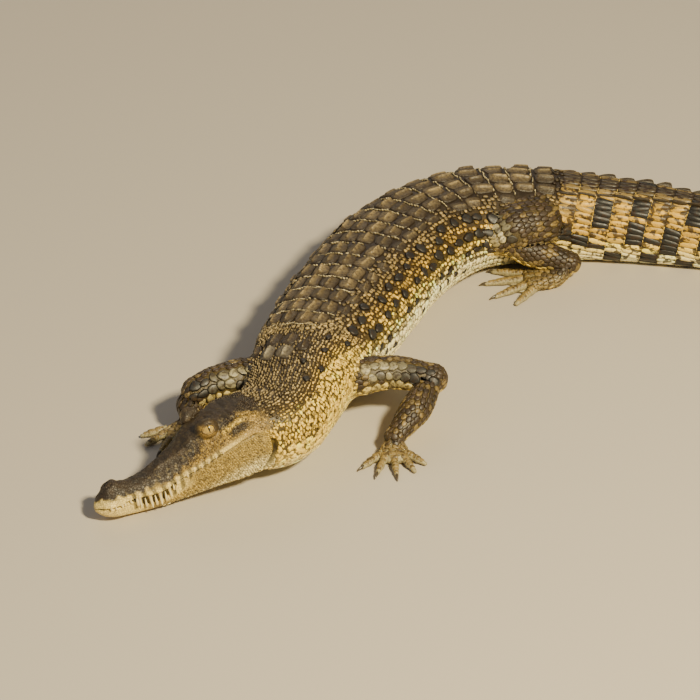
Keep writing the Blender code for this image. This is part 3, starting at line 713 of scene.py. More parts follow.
def toe_paths(spec, palm_end, fore, out):
    """Root, way, reach, whether it has a claw, and the hand's way, for each toe."""
    turn = math.radians(spec["heading"])
    ahead = fore * math.cos(turn) + out * math.sin(turn)
    beside = out * math.cos(turn) - fore * math.sin(turn)
    spread = 0.0115 if spec["fore"] else 0.014
    for degrees, length, clawed in (FORE_TOES if spec["fore"] else HIND_TOES):
        lean = math.radians(degrees)
        way = ahead * math.cos(lean) + beside * math.sin(lean)
        root = Vector((palm_end.x, palm_end.y, 0)) - ahead * 0.01
        root += beside * spread * math.sin(lean) * 1.6
        yield root, way, length + 0.012, clawed, ahead


UP = Vector((0, 0, 1))


def toe_rings(root, way, reach, thick):
    """A toe with three knuckles that settles to the floor."""
    side = way.cross(UP)
    rings = []
    for f in np.linspace(0, 1, 19):
        z = np.interp(f, (0, 0.6, 1.0), (0.0092, 0.006, 0.0034))
        r = thick * np.interp(f, (0, 0.6, 0.9, 1.0), (1.0, 0.9, 0.66, 0.5))
        r *= 1 + 0.08 * math.cos(f * math.tau * 3)
        rings.append((root + way * reach * f + UP * z, way, side, UP, r, r * 0.96))
    q, _, _, rise, w, h = rings[-1]
    rings += [(q + way * h * f, way, side, rise, w * r, h * r) for f, r in ((0.5, 0.85), (0.85, 0.5))]
    return rings


def web(name, spec, toes):
    """A thin skin between the toes, its edge drawn in between them."""
    bm = bmesh.new()
    centre = toes[0][0] + (toes[-1][0] - toes[0][0]) * 0.5 - toes[0][4] * 0.006
    edge = [centre]
    share = 0.4 if spec["fore"] else 0.62          # how far out along the toes it reaches
    for (root, way, reach, *_), (root2, way2, reach2, *_) in zip(toes, toes[1:]):
        a, b = root + way * reach * share, root2 + way2 * reach2 * share
        edge += [a + (b - a) * t - (a + b - centre * 2) * 0.5 * 0.22 * math.sin(math.pi * t)
                 for t in (0, 0.25, 0.5, 0.75)]
    edge.append(toes[-1][0] + toes[-1][1] * toes[-1][2] * share)
    face = bm.faces.new([bm.verts.new((p.x, p.y, 0.0012)) for p in edge])
    lifted = bmesh.ops.extrude_face_region(bm, geom=[face])["geom"]
    bmesh.ops.translate(bm, verts=[v for v in lifted if isinstance(v, bmesh.types.BMVert)],
                        vec=(0, 0, 0.0022))
    bmesh.ops.recalc_face_normals(bm, faces=bm.faces[:])
    bmesh.ops.triangulate(bm, faces=[f for f in bm.faces if len(f.verts) > 4])
    return new_object(name, bm)


def join_solids(target, tools):
    """Unite closed solids with one Boolean per tool and drop the tools."""
    for tool in tools:
        cut = target.modifiers.new("unite", "BOOLEAN")
        cut.operation = "UNION"
        cut.object = tool
        cut.solver = "MANIFOLD"
        bpy.context.view_layer.update()
        graph = bpy.context.evaluated_depsgraph_get()
        done = bpy.data.meshes.new_from_object(target.evaluated_get(graph))
        target.modifiers.remove(cut)
        if len(done.polygons) < len(target.data.polygons) * 0.5:
            print("boolean lost", tool.name)
        old, target.data = target.data, done
        bpy.data.meshes.remove(old)
    for tool in tools:
        bpy.data.objects.remove(tool, do_unlink=True)
    return target


# %% Build the four legs and keep their rings
FORE_TOE_RADIUS, HIND_TOE_RADIUS = 0.0056, 0.0062
LIMB_RINGS, TOES = {}, {}
limb_things = []
for limb, spec in LIMBS.items():
    upper, lower, palm, palm_end, fore, out = limb_lengths(spec)
    LIMB_RINGS[limb] = (upper, lower, palm)
    TOES[limb] = list(toe_paths(spec, palm_end, fore, out))
    thick = FORE_TOE_RADIUS if spec["fore"] else HIND_TOE_RADIUS
    parts = [tube("upper", upper, LIMB_COLUMNS, LIMB_DEPTH),
             tube("lower", lower, LIMB_COLUMNS, LIMB_DEPTH),
             tube("palm", palm, LIMB_COLUMNS, LIMB_DEPTH * 0.6)]
    parts += [tube("toe", toe_rings(root, way, reach, thick), 16, 0.0004)
              for root, way, reach, *_ in TOES[limb]]
    parts.append(web("web", spec, TOES[limb]))
    limb_things.append(join_solids(parts[0], parts[1:]))
limb_points = np.concatenate([points_of(thing.data) for thing in limb_things])
print("limb skin points:", len(limb_points))


# %% [markdown]
# ## Lids
# A crocodile's eye sits in a turret: the brow above, a soft lid below, and a thick rim that
# narrows the opening to an almond.  The turret is spun as a profile round the line of sight; the
# almond comes from drawing the profile in above and below.  It is then united with the skin.

# %% The direction each eye looks in, and its turret
LID_PROFILE = (                             # degrees from the line of sight, radius in metres
    (0, 0.0078), (28, 0.0084), (41, 0.0095), (44.5, 0.0106), (46.5, 0.0114), (50, 0.0119),
    (54, 0.0121), (58, 0.0119), (61, 0.0114), (64, 0.0112), (67, 0.0115), (72, 0.012),
    (78, 0.0121), (86, 0.0121), (95, 0.0123), (106, 0.0128), (118, 0.0132), (135, 0.012),
    (160, 0.01), (180, 0.009))
EYE_OUTWARD = 0.0262
EYE_RAISE = 0.0385
# the almond: how far the round opening is drawn in at its corners, above and below
CORNER_REACH, LID_ABOVE, LID_BELOW = 0.86, 0.54, 0.64


def eye_frame(side):
    """Centre of the eye, line of sight, direction to its rear corner, and direction up."""
    p, back, left, up = [Vector(v[0]) for v in spine_at(EYE_STATION)]
    centre = p + left * side * EYE_OUTWARD + up * EYE_RAISE
    sight = (left * side * 0.93 + up * 0.26 - back * 0.2).normalized()
    rear = (back - sight * back.dot(sight)).normalized()
    above = rear.cross(sight) * side
    if above.dot(up) < 0:
        above.negate()
    return centre, sight, rear, above


EYES = [eye_frame(side) for side in (1, -1)]
EYE_CENTRES = np.array([axes[0] for axes in EYES])


def to_eye(points):
    """Metres from each point to the nearer eye."""
    return np.min(np.linalg.norm(points[:, None] - EYE_CENTRES[None], axis=2), 1)


def spun(profile, steps, weld):
    """A bmesh of a profile of (radius, height) points spun round the upright axis."""
    bm = bmesh.new()
    verts = [bm.verts.new((r, 0, z)) for r, z in profile]
    edges = [bm.edges.new(pair) for pair in zip(verts, verts[1:])]
    bmesh.ops.spin(bm, geom=verts + edges, cent=(0, 0, 0), axis=(0, 0, 1), angle=math.tau,
                   steps=steps, use_merge=True)
    bmesh.ops.remove_doubles(bm, verts=bm.verts[:], dist=weld)
    return bm


def eye_turret(centre, sight, rear, above):
    """Brow, lids and the pit the eye lies in, as one closed solid."""
    bm = spun([(r * math.sin(math.radians(a)), r * math.cos(math.radians(a)))
               for a, r in LID_PROFILE], 56, 0.00002)
    for v in bm.verts:
        r = v.co.length
        polar = math.acos(max(-1, min(1, v.co.z / r)))
        turn = math.atan2(v.co.y, v.co.x)
        c, n = math.cos(turn), math.sin(turn)
        lid = LID_ABOVE if n > 0 else LID_BELOW
        almond = (abs(c / CORNER_REACH) ** 1.8 + abs(n / lid) ** 1.8) ** (-1 / 1.8)
        fade = min(1, max(0, (math.radians(108) - polar) / math.radians(50)))
        polar *= 1 + (almond - 1) * fade
        rim = math.exp(-((math.degrees(polar) - 52) / 16) ** 2)
        skirt = min(1, max(0, (polar - math.radians(62)) / math.radians(38)))
        foot = 0.0046 * max(0, -c) ** 1.5 + 0.0026 * max(0, -n) ** 2 + 0.0026 * max(0, c) ** 2
        wrinkle = 0.00018 * math.sin(turn * 17 + 2) * math.exp(-((polar - 1.2) / 0.25) ** 2)
        r += skirt * skirt * foot
        r += 0.0009 * rim * max(n, 0) + wrinkle
        v.co = centre + (rear * c + above * n) * r * math.sin(polar) + sight * r * math.cos(polar)
    bmesh.ops.recalc_face_normals(bm, faces=bm.faces[:])
    return new_object("turret", bm)


turrets = [eye_turret(*axes) for axes in EYES]
before_union = np.concatenate([body_points] + [points_of(t.data) for t in turrets] + [limb_points])
join_solids(hide, turrets + limb_things)
print("one skin:", len(hide.data.vertices), "points")


# %% Let the seams of the Boolean flow together
def tree_of(points):
    tree = KDTree(len(points))
    for i, p in enumerate(points):
        tree.insert(p, i)
    tree.balance()
    return tree


def soften_seams(thing):
    """Smooth the skin round every new seam: widely on the body, narrowly at toes and lids."""
    old = tree_of(before_union)
    points = points_of(thing.data)
    seam = np.array([old.find(p)[2] > 2e-5 for p in points])
    seam_tree = tree_of(points[seam])
    away = np.array([seam_tree.find(p)[2] for p in points])
    eye = to_eye(points) < 0.02
    low = points[:, 2] < 0.022
    high = ~eye & ~low
    bm = bmesh.new()
    bm.from_mesh(thing.data)
    bm.verts.ensure_lookup_table()
    for reach, times, chosen in ((0.015, 10, high), (0.01, 14, high), (0.006, 10, high),
                                 (0.003, 8, low), (0.0018, 4, low), (0.004, 8, eye)):
        verts = [bm.verts[i] for i in np.flatnonzero(chosen & (away < reach))]
        for _ in range(times):
            bmesh.ops.smooth_vert(bm, verts=verts, factor=0.5, use_axis_x=True, use_axis_y=True,
                                  use_axis_z=True)
    bmesh.ops.triangulate(bm, faces=[f for f in bm.faces if len(f.verts) > 4])
    bm.to_mesh(thing.data)
    bm.free()


soften_seams(hide)
hide.data.polygons.foreach_set("use_smooth", [True] * len(hide.data.polygons))
hide_points = points_of(hide.data)
print("skin triangles:", sum(len(p.vertices) - 2 for p in hide.data.polygons))

# %% [markdown]
# ## Markings
# One rule gives the colour of any place on the map, and skin and scales both ask it, so the
# pattern runs through.  The back is a dull dark brown, the flanks turn to gold, and the belly is
# cream.  Large dark scales stand in rows on the flank, and black blocks alternate on the tail.
# Where scales lie, a rule answers with two colours: a scale's crown and the groove round it; the
# groove's dark is partly the skin's own and partly painted shade.  Creases, the mouth, the gaps
# between the teeth and the pit of the eye are darkened as painted shade.

# %% The palette
BACK_DARK = linear("#3c3222")
BACK_BROWN = linear("#8c7850")
BACK_FOLD = linear("#b5a680")
PLATE_GREY = linear("#756b57")
HEAD_OLIVE = linear("#261e13")
HEAD_BROWN = linear("#3f3120")
HEAD_MOTTLE = linear("#94825a")
HEAD_PALE = linear("#947838")
CHEEK_GOLD = linear("#a0823c")
JAW_CREAM = linear("#a68c48")
LIP_CREAM = linear("#f2d680")
FLANK_BROWN = linear("#967c42")
FLANK_GOLD = linear("#c0983a")
FLANK_PALE = linear("#f6d468")
BELLY_CREAM = linear("#fff0b4")
NECK_TIP = linear("#ab9464")
NECK_GOLD = linear("#c2a052")
THROAT_GOLD = linear("#eec854")
DARK_SCALE = linear("#23211e")
# dark browns of the grooves, partly the skin's own colour and partly painted shade; the deeper one also
# paints shade in the creases, the mouth and the pit of the eye, and is the skin under the black blocks
GROOVE_BROWN = linear("#241809")
GROOVE_DEEP = linear("#160e06")
TAIL_GOLD = linear("#c2982e")
TAIL_BLACK = linear("#1b1916")
LEG_DARK = linear("#281f15")
LEG_TAN = linear("#86703e")
LEG_PALE = linear("#e0d09a")
SHOULDER_TAN = linear("#ac9460")
LID_BROWN = linear("#3c2e1b")
LID_PALE = linear("#9a7c3e")


def ramp(x, stops):
    """Colours along x from (place, colour) stops."""
    places = [p for p, _ in stops]
    table = np.array([c for _, c in stops])
    return np.stack([np.interp(x, places, table[:, k]) for k in range(3)], -1)


def mix(a, b, t):
    t = np.asarray(t, float)[..., None]
    return a * (1 - t) + b * t


def smooth_step(x, low, high):
    t = np.clip((x - low) / (high - low), 0, 1)
    return t * t * (3 - 2 * t)


def wander(points, size, seed=0.0):
    """Smooth random values from about -1 to 1."""
    return np.array([noise.noise(Vector(p) / size + Vector((seed, 0, 0))) for p in points]) * 1.6


# (station, metres above the mouth)
CROWN_LINE = ((0.0, 0.0075), (0.03, 0.009), (0.08, 0.01), (0.115, 0.0105), (0.138, 0.016),
              (0.155, 0.026), (0.24, 0.027))
NOTCH_AT = 0.1025                           # a painted shadow between two teeth of the lower jaw


def head_tone(s, share, points):
    """Olive crown, pale jaws and cheeks: colour of the smooth skin of the head, with painted shade in
    the mouth and between the teeth.
    """
    mouth = girth(s)[0] - away_of(s, share)
    drift = wander(points, 0.018) * 0.004 + wander(points, 0.006, 5.0) * 0.0025
    tooth = tooth_wave(s)
    # the dark crown, and the line over the lips down to which it reaches
    line = np.interp(s, *np.array(CROWN_LINE).T)
    crown = mix(HEAD_OLIVE, HEAD_BROWN, 0.5 + 0.5 * np.clip(wander(points, 0.009, 9.0), -1, 1))
    mottle = smooth_step(wander(points, 0.0034, 13.0), 0.15, 0.6) * smooth_step(s, 0.06, 0.085)
    crown = mix(crown, HEAD_MOTTLE, mottle * np.where(mouth < line + 0.014, 0.48, 0.14))
    cheek = ramp(s, ((0.0, LIP_CREAM), (0.1, HEAD_PALE * 1.25), (0.16, HEAD_PALE),
                     (0.24, CHEEK_GOLD)))
    upper = mix(cheek, crown, smooth_step(mouth + drift - tooth * 0.004, line - 0.004, line + 0.002))
    pale = smooth_step(-mouth, -0.0085, -0.0035) * smooth_step(-s, -0.215, -0.17)
    lip = mix(upper, LIP_CREAM, pale * 0.85)
    # the lower jaw, cream at its lip and under the chin
    jaw = ramp(s, ((0.0, BELLY_CREAM), (0.055, LIP_CREAM), (0.075, JAW_CREAM * 1.1),
                   (0.15, JAW_CREAM * 0.9), (0.22, JAW_CREAM * 0.85), (0.26, THROAT_GOLD)))
    lower_lip = smooth_step(mouth, -0.02, -0.015) * smooth_step(-s, -0.13, -0.105)
    chin = mix(mix(jaw, LIP_CREAM, lower_lip), BELLY_CREAM, smooth_step(-mouth, 0.026, 0.045) * 0.5)
    tone = np.where((mouth > 0)[:, None], lip, chin)
    # painted shade in the furrows between the roots of the teeth
    low = np.interp(s, (0.045, 0.11, 0.13), (-0.0165, -0.0165, -0.003))
    tooth_gap_shade = smooth_step(mouth, low - 0.002, low + 0.002) * smooth_step(-mouth, -0.01, -0.006)
    tooth_gap_shade = tooth_gap_shade * smooth_step(s, 0.03, 0.05) * smooth_step(-s, -0.212, -0.19)
    tone = mix(tone, GROOVE_BROWN, tooth_gap_shade * smooth_step(-tooth, -0.55, -0.25) * 0.72)
    # a gold bar under the edge of the skull table, and the dark ear patch below it
    gold = smooth_step(s, 0.176, 0.182) * smooth_step(-s, -0.215, -0.2)
    tone = mix(tone, THROAT_GOLD, hill(mouth, 0.0235, 0.0024) * gold * 0.85)
    patch = smooth_step(-((mouth - 0.0165) / 0.006) ** 2 - ((s - 0.2) / 0.015) ** 2, -1.4, -0.4)
    tone = mix(tone, GROOVE_BROWN, patch * 0.9)
    # painted shade: the notch, the slit of the mouth and the open gap between the lips are the darkest
    notch_shade = hill(s - mouth * 0.12, NOTCH_AT, 0.0011) * smooth_step(mouth, -0.018, -0.013)
    tone = mix(tone, GROOVE_DEEP, notch_shade * smooth_step(-mouth, -0.0075, -0.0035) * 0.85)
    seam = hill(mouth, -0.0003, 0.0008) * smooth_step(-s, -0.222, -0.212)
    gap_shade = smooth_step(gape_band(s, mouth), -0.0004, 0.0006) * in_gape(s)
    return mix(tone, GROOVE_DEEP, np.maximum(seam * 0.85, gap_shade * 0.66))


# (share, colour) from the middle of the back to the middle of the belly
NECK_TONES = ((0.0, NECK_TIP * 0.62), (0.3, NECK_TIP * 0.72), (0.55, NECK_TIP), (0.75, NECK_GOLD),
              (0.9, THROAT_GOLD), (1.26, THROAT_GOLD), (1.5, FLANK_PALE), (1.75, BELLY_CREAM))
TRUNK_TONES = ((0.0, BACK_DARK), (0.36, BACK_DARK), (0.5, BACK_BROWN), (0.68, FLANK_BROWN),
               (0.84, FLANK_GOLD), (1.04, FLANK_PALE), (1.22, BELLY_CREAM))
TAIL_TONES = ((0.0, BACK_DARK), (0.12, BACK_DARK), (0.24, FLANK_BROWN), (0.38, TAIL_GOLD),
              (0.95, TAIL_GOLD), (1.15, FLANK_PALE), (1.35, BELLY_CREAM))


def body_tones(s, share, points):
    """Crown and groove colours of the neck, trunk and tail."""
    m = np.abs(share) + wander(points, 0.03, 3.0) * 0.05 + wander(points, 0.01, 7.0) * 0.05
    crown = mix(ramp(m, NECK_TONES), ramp(m, TRUNK_TONES), smooth_step(s, 0.35, 0.43))
    crown = mix(crown, SHOULDER_TAN, hill(s, 0.415, 0.035) * 0.65 * (m < 0.95))
    crown = mix(crown, ramp(m, TAIL_TONES), smooth_step(s, 0.955, 1.02))
    # the groove is dark brown, partly the skin's own colour and partly painted shade; under the belly
    # it is the crown's colour darkened as painted shade
    pale_groove = smooth_step(m, 1.3, 1.65)
    groove = mix(GROOVE_BROWN, crown * 0.35, pale_groove * 0.8)
    return crown, groove


def limb_tones(points):
    """Crown and groove colours of the legs: dark scales set in a tan net, paler near the floor."""
    swing = np.clip(wander(points, 0.014, 11.0) * 0.5 + 0.45, 0, 1)
    crown = mix(LEG_DARK, HEAD_BROWN * 1.25, swing)
    groove = LEG_TAN * 0.6
    low = smooth_step(-points[:, 2], -0.026, -0.013)
    return mix(crown, LEG_TAN * 1.2, low * 0.7), mix(groove, LEG_PALE, low * 0.75)


# %% Black blocks on the tail
FIRST_WHORL, WHORL_PITCH = 0.9728, 0.0255
# shares (from, to) of the blocks on eight whorls; the pattern then repeats
BLOCKS = (((0.86, 1.04),), ((0.96, 1.16),), ((0.38, 0.87), (1.02, 1.2)), ((1.3, 1.55),),
          ((0.28, 0.62), (0.71, 1.12)), ((1.26, 1.6),), ((0.73, 1.24),), ((0.1, 0.64), (1.36, 1.62)))
BLOCK_SHIFT = 3                             # the right side lags this many whorls behind the left


def whorl_marks():
    """Front edge and length of every whorl, shorter towards the tip."""
    marks = [FIRST_WHORL]
    while marks[-1] < TOTAL_LENGTH - 0.02:
        marks.append(marks[-1] + WHORL_PITCH * np.interp(marks[-1], (1.15, 1.8), (1.0, 0.62)))
    return [(s, e - s) for s, e in zip(marks, marks[1:])]


def whorl_slant(s, share):
    """How far back a whorl leans at a share: its belt slopes forward towards the belly."""
    return 0.01 * (0.7 - np.minimum(np.abs(share), 1.7)) * np.minimum(1, sum(girth(s)) / 0.15)


def in_block(s, share):
    """Which places of the tail lie in a black block."""
    straight = s - whorl_slant(s, share)
    dark = np.zeros(s.shape, bool)
    for k, (start, pitch) in enumerate(whorl_marks()):
        here = (straight >= start) & (straight < start + pitch)
        for side, shift in ((1, 0), (-1, BLOCK_SHIFT)):
            for low, high in BLOCKS[(k + shift) % len(BLOCKS)]:
                dark |= here & (share * side > low) & (share * side < high)
    return dark


# %% Which part of the animal each point of the skin belongs to
body_tree = tree_of(body_points)
limb_tree = tree_of(limb_points)
found_body = [body_tree.find(p) for p in hide_points]
limb_gap = np.array([limb_tree.find(p)[2] for p in hide_points])
body_gap = np.array([f[2] for f in found_body])
hide_s = np.array([body_s[f[1]] for f in found_body])
hide_share = np.array([body_share[f[1]] for f in found_body])
on_limb = smooth_step(body_gap - limb_gap, -0.001, 0.004)

print("points of the skin on the legs:", int((on_limb > 0.5).sum()))

# %% Colours of the skin: grooves between the scales, the bare head, blocks and legs
crown, groove = body_tones(hide_s, own_share(hide_s, hide_share), hide_points)
head_part = 1 - smooth_step(hide_s, 0.222, 0.24)
hide_tone = mix(mix(groove, crown, 0.08), head_tone(hide_s, hide_share, hide_points), head_part)
hide_tone = np.where(in_block(hide_s, hide_share)[:, None], GROOVE_DEEP, hide_tone)
# on the legs the skin takes the groove's tan, darkened further as painted shade between the scales
hide_tone = mix(hide_tone, limb_tones(hide_points)[1] * 0.6, on_limb)

# %% Lids: brown above, paler below and in front, and painted shade in the pit
LID_REACH = 0.0128                          # metres from the eye's centre, and how far it fades
LID_FADE = 0.0037
PIT_RADIUS = 0.0098
for axes in EYES:
    centre, sight, rear, above = [np.array(axis) for axis in axes]
    off = hide_points - centre
    far = np.linalg.norm(off, axis=1)
    toward = (off @ sight) / np.maximum(far, 1e-6)
    facing = smooth_step(toward, -0.1, 0.3)
    low_front = -(off @ above) - (off @ rear) * 0.9
    near_eye = far - 0.006 * smooth_step(low_front, -0.002, 0.008)
    lid = 1 - smooth_step(near_eye, LID_REACH, LID_REACH + LID_FADE)
    lower = smooth_step(low_front, -0.004, 0.003)
    lids = mix(LID_BROWN, LID_PALE, lower * 0.8 + 0.1)
    fold = hill(np.arccos(np.clip(toward, -1, 1)), 1.22, 0.07)
    lids = mix(lids, HEAD_OLIVE, fold * 0.35)
    hide_tone = mix(hide_tone, lids, lid * facing * (far > 0.01))
    # painted shade: the skin of the pit round the globe is darkened almost to black where it faces out
    pit_shade = 1 - smooth_step(far, PIT_RADIUS, PIT_RADIUS + 0.0008)
    hide_tone = mix(hide_tone, GROOVE_DEEP, pit_shade * facing)


# %% Painted shade in the crease behind the jaw, and the colours go on the skin
def put_colours(mesh, name, colours):
    """A colour for each point of a mesh, for its material to read."""
    layer = mesh.attributes.new(name, "FLOAT_COLOR", "POINT")
    rgba = np.ones((len(colours), 4), np.float32)
    rgba[:, :3] = colours
    layer.data.foreach_set("color", rgba.ravel())


def put_values(mesh, name, values):
    layer = mesh.attributes.new(name, "FLOAT", "POINT")
    layer.data.foreach_set("value", np.asarray(values, np.float32))


mouth = girth(hide_s)[0] - away_of(hide_s, hide_share)
# painted shade: the crease behind the jaw is darkened almost to black below the mouth
crease = hill(near_line(hide_s, mouth, JAW_CREASE)[0], 0, 0.0025)
hide_tone = mix(hide_tone, GROOVE_DEEP, crease * 0.94 * smooth_step(-mouth, 0.014, 0.026))
put_colours(hide.data, "tone", hide_tone)
fleck = np.where(mouth > 0, smooth_step(mouth, 0.004, 0.012) * 0.9, 0.15)
put_values(hide.data, "fleck", head_part * fleck * (1 - on_limb))
put_values(hide.data, "bare", head_part)
print("skin colours:", hide_tone.mean(0).round(3))

# %% [markdown]
# ## Materials of hide and scale
# Living crocodile hide is keratin over thick skin: matt where it folds and half glossy where it is
# stretched over bone.  The colour comes from the markings, with fine grain, small dark sense
# organs (the dots on the jaws) and painted shade in the seams of small cells, all from procedural
# textures.  Scales use the same idea, and also know how high a point lies on its scale, so the
# foot of each plate takes the groove's colour, partly the skin's own and partly painted shade,
# and the highest places are paler, partly as wear and partly as a painted highlight.
# A texture's scale is 1 over the size in metres: 420 gives grain of 2.4 mm, which finer steps
# break up, 330 gives dots 3 mm apart, and 150 blotches of 7 mm.

# %% Hide
def hide_material():
    """Crocodile hide: keratin skin, IOR 1.5, satin, finely grained and dotted."""
    material, shader, add = new_material("crocodile_hide", Roughness=0.52, IOR=1.5)
    place = add("TexCoord").outputs["Object"]
    tone = add("Attribute", attribute_name="tone").outputs["Color"]
    fleck = add("Attribute", attribute_name="fleck").outputs["Fac"]
    bare = add("Attribute", attribute_name="bare").outputs["Fac"]
    grain = add("TexNoise", {"Vector": place}, Scale=420, Detail=5.0, Roughness=0.6)
    blotch = add("TexNoise", {"Vector": place}, Scale=150, Detail=4.0, Roughness=0.65)
    # dark dots, and patches between them, where the flecks are
    dots = add("TexVoronoi", {"Vector": place}, Scale=330)
    near = add("MapRange", {"Value": dots}, From_Min=0.16, From_Max=0.3, To_Min=1.0, To_Max=0.0)
    some = add("MapRange", {"Value": blotch}, From_Min=0.5, From_Max=0.58)
    dotted = add("Math", {0: near, 1: fleck}, operation="MULTIPLY")
    patchy = add("Math", {0: some, 1: fleck}, operation="MULTIPLY")
    both = add("Math", {0: dotted, 1: patchy}, operation="MAXIMUM")
    weak = add("Math", {0: both, 1: 0.72}, operation="MULTIPLY")
    # creases of the head's skin: cells about 3 mm across, darkened in their seams as painted shade over
    # all the skin
    cells = add("TexVoronoi", {"Vector": place}, Scale=300, feature="DISTANCE_TO_EDGE")
    crease = add("MapRange", {"Value": cells}, From_Max=0.14)
    seam = add("MapRange", {"Value": crease}, To_Min=0.55, To_Max=1.06)
    light = add("MapRange", {"Value": grain}, From_Min=0.3, From_Max=0.7, To_Min=0.78, To_Max=1.22)
    lit = add("Math", {0: light, 1: seam}, operation="MULTIPLY")
    shaded = add("VectorMath", {0: tone, "Scale": lit}, operation="SCALE")
    spotted = add("Mix", {"Factor": weak, 6: shaded, 7: rgba("#2c2114")}, data_type="RGBA")
    fold = add("Math", {0: crease, 1: bare}, operation="MULTIPLY")
    height = add("Math", {0: grain, 1: fold}, operation="ADD")
    bump = add("Bump", {"Height": height}, Strength=0.55, Distance=0.0006)
    rough = add("MapRange", {"Value": blotch}, From_Min=0.3, From_Max=0.7, To_Min=0.4, To_Max=0.62)
    feed(shader, {"Base Color": spotted.outputs[2], "Normal": bump, "Roughness": rough})
    return material


# %% Scale
def scale_material(name, rough_low, rough_high, grain_size, bump_strength, fleck, fleck_size, wear_and_highlight):
    """Keratin plate: IOR 1.55, satin to half gloss; the foot takes the groove's colour, partly the
    skin's own and partly painted shade.

    Sizes are in metres; fleck says how dark the spots are, and the last number how much paler the
    highest places are, partly as wear and partly as a painted highlight.
    """
    material, shader, add = new_material(name, IOR=1.55)
    place = add("TexCoord").outputs["Object"]
    tone = add("Attribute", attribute_name="tone").outputs["Color"]
    foot = add("Attribute", attribute_name="foot").outputs["Color"]
    height = add("Attribute", attribute_name="height").outputs["Fac"]
    grain = add("TexNoise", {"Vector": place}, Scale=1 / grain_size, Detail=4.0, Roughness=0.6)
    blotch = add("TexNoise", {"Vector": place}, Scale=0.22 / grain_size, Detail=3.0)
    spots = add("TexNoise", {"Vector": place}, Scale=1 / fleck_size, Detail=3.0)
    # the crown's own colour: grained and flecked, and paler on the highest places, partly as wear and
    # partly as a painted highlight
    light = add("MapRange", {"Value": grain}, From_Min=0.3, From_Max=0.7, To_Min=0.62, To_Max=1.34)
    worn = add("MapRange", {"Value": height}, From_Min=0.7, To_Min=1.0, To_Max=1.0 + wear_and_highlight)
    gain = add("Math", {0: light, 1: worn}, operation="MULTIPLY")
    shaded = add("VectorMath", {0: tone, "Scale": gain}, operation="SCALE")
    spotted = add("MapRange", {"Value": spots}, From_Min=0.52, From_Max=0.57, To_Max=fleck)
    flecked = add("Mix", {"Factor": spotted, 6: shaded, 7: rgba("#2c1c0c")}, data_type="RGBA")
    # painted shade, partly the groove's own colour: from the foot's colour to the crown's, up the edge
    # of the plate
    rim = add("MapRange", {"Value": height}, interpolation_type="SMOOTHSTEP", From_Min=0.1,
              From_Max=0.75)
    colour = add("Mix", {"Factor": rim, 6: foot, 7: flecked.outputs[2]}, data_type="RGBA")
    rough = add("MapRange", {"Value": blotch}, From_Min=0.3, From_Max=0.7, To_Min=rough_low,
                To_Max=rough_high)
    bump = add("Bump", {"Height": grain}, Strength=bump_strength, Distance=0.4 * grain_size)
    feed(shader, {"Base Color": colour.outputs[2], "Normal": bump, "Roughness": rough})
    return material


# %% The skin is dressed and fixed to the root, and the solids it stands for are hidden
hide.data.materials.clear()
hide.data.materials.append(hide_material())
scale_keratin = scale_material("scale_keratin", 0.36, 0.6, 0.0011, 0.5, 0.7, 0.0045, 0.1)
tail_keratin = scale_material("tail_keratin", 0.34, 0.56, 0.0013, 0.45, 0.9, 0.0085, 0.05)
plate_keratin = scale_material("bony_plate_keratin", 0.38, 0.64, 0.0028, 0.9, 0.55, 0.0042, 0.7)
FLESH = ["head", "lower_jaw", "neck", "trunk", "tail_base", "tail_middle", "tail_tip"]
FLESH += [part + "_" + tag for part in ("upper_arm", "forearm", "hand", "thigh", "shin", "foot")
          for tag in ("left", "right")]
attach(hide, "root")
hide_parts(*FLESH)

# %% [markdown]
# ## How a scale is made and laid
# Every scale is one closed plate.  Its shape is extruded once from a circle, ring by ring, and then
# laid many times.  Laying a plate means reading the map at each of its points: the plate bends with
# the body and its foot sinks a little into the skin.  Each plate is turned, stretched and
# coloured a little differently, with a seeded random generator, so two are never alike.

# %% Shapes of plates
rng = np.random.default_rng(1850)


def plate_shape(sides, rings, power=2.0):
    """A closed plate on a unit foot, through rings of (length, width, shift, height) to its peak.

    The power squares the foot: 2 is a circle, a high one nearly a rectangle, a low one a rhomb.
    """
    bm = bmesh.new()
    bmesh.ops.create_circle(bm, cap_ends=True, segments=sides, radius=1)
    for v in bm.verts:
        x, y = v.co.x, v.co.y
        v.co *= (abs(x) ** power + abs(y) ** power) ** (-1 / power)
    top = bm.faces[:][0]
    was = (1, 1, 0, 0)
    for ring in rings[:-1]:
        made = bmesh.ops.extrude_face_region(bm, geom=[top])["geom"]
        top = [g for g in made if isinstance(g, bmesh.types.BMFace)][0]
        for v in [g for g in made if isinstance(g, bmesh.types.BMVert)]:
            v.co = ((v.co.x - was[2]) / was[0] * ring[0] + ring[2], v.co.y / was[1] * ring[1], ring[3])
        was = ring
    peak = bmesh.ops.poke(bm, faces=[top])["verts"][0]
    peak.co = (rings[-1][2], 0, rings[-1][3])
    bmesh.ops.recalc_face_normals(bm, faces=bm.faces[:])
    bmesh.ops.triangulate(bm, faces=bm.faces[:])
    bm.verts.index_update()
    verts = np.array([v.co for v in bm.verts])
    faces = np.array([[v.index for v in f.verts] for f in bm.faces])
    bm.free()
    return verts, faces


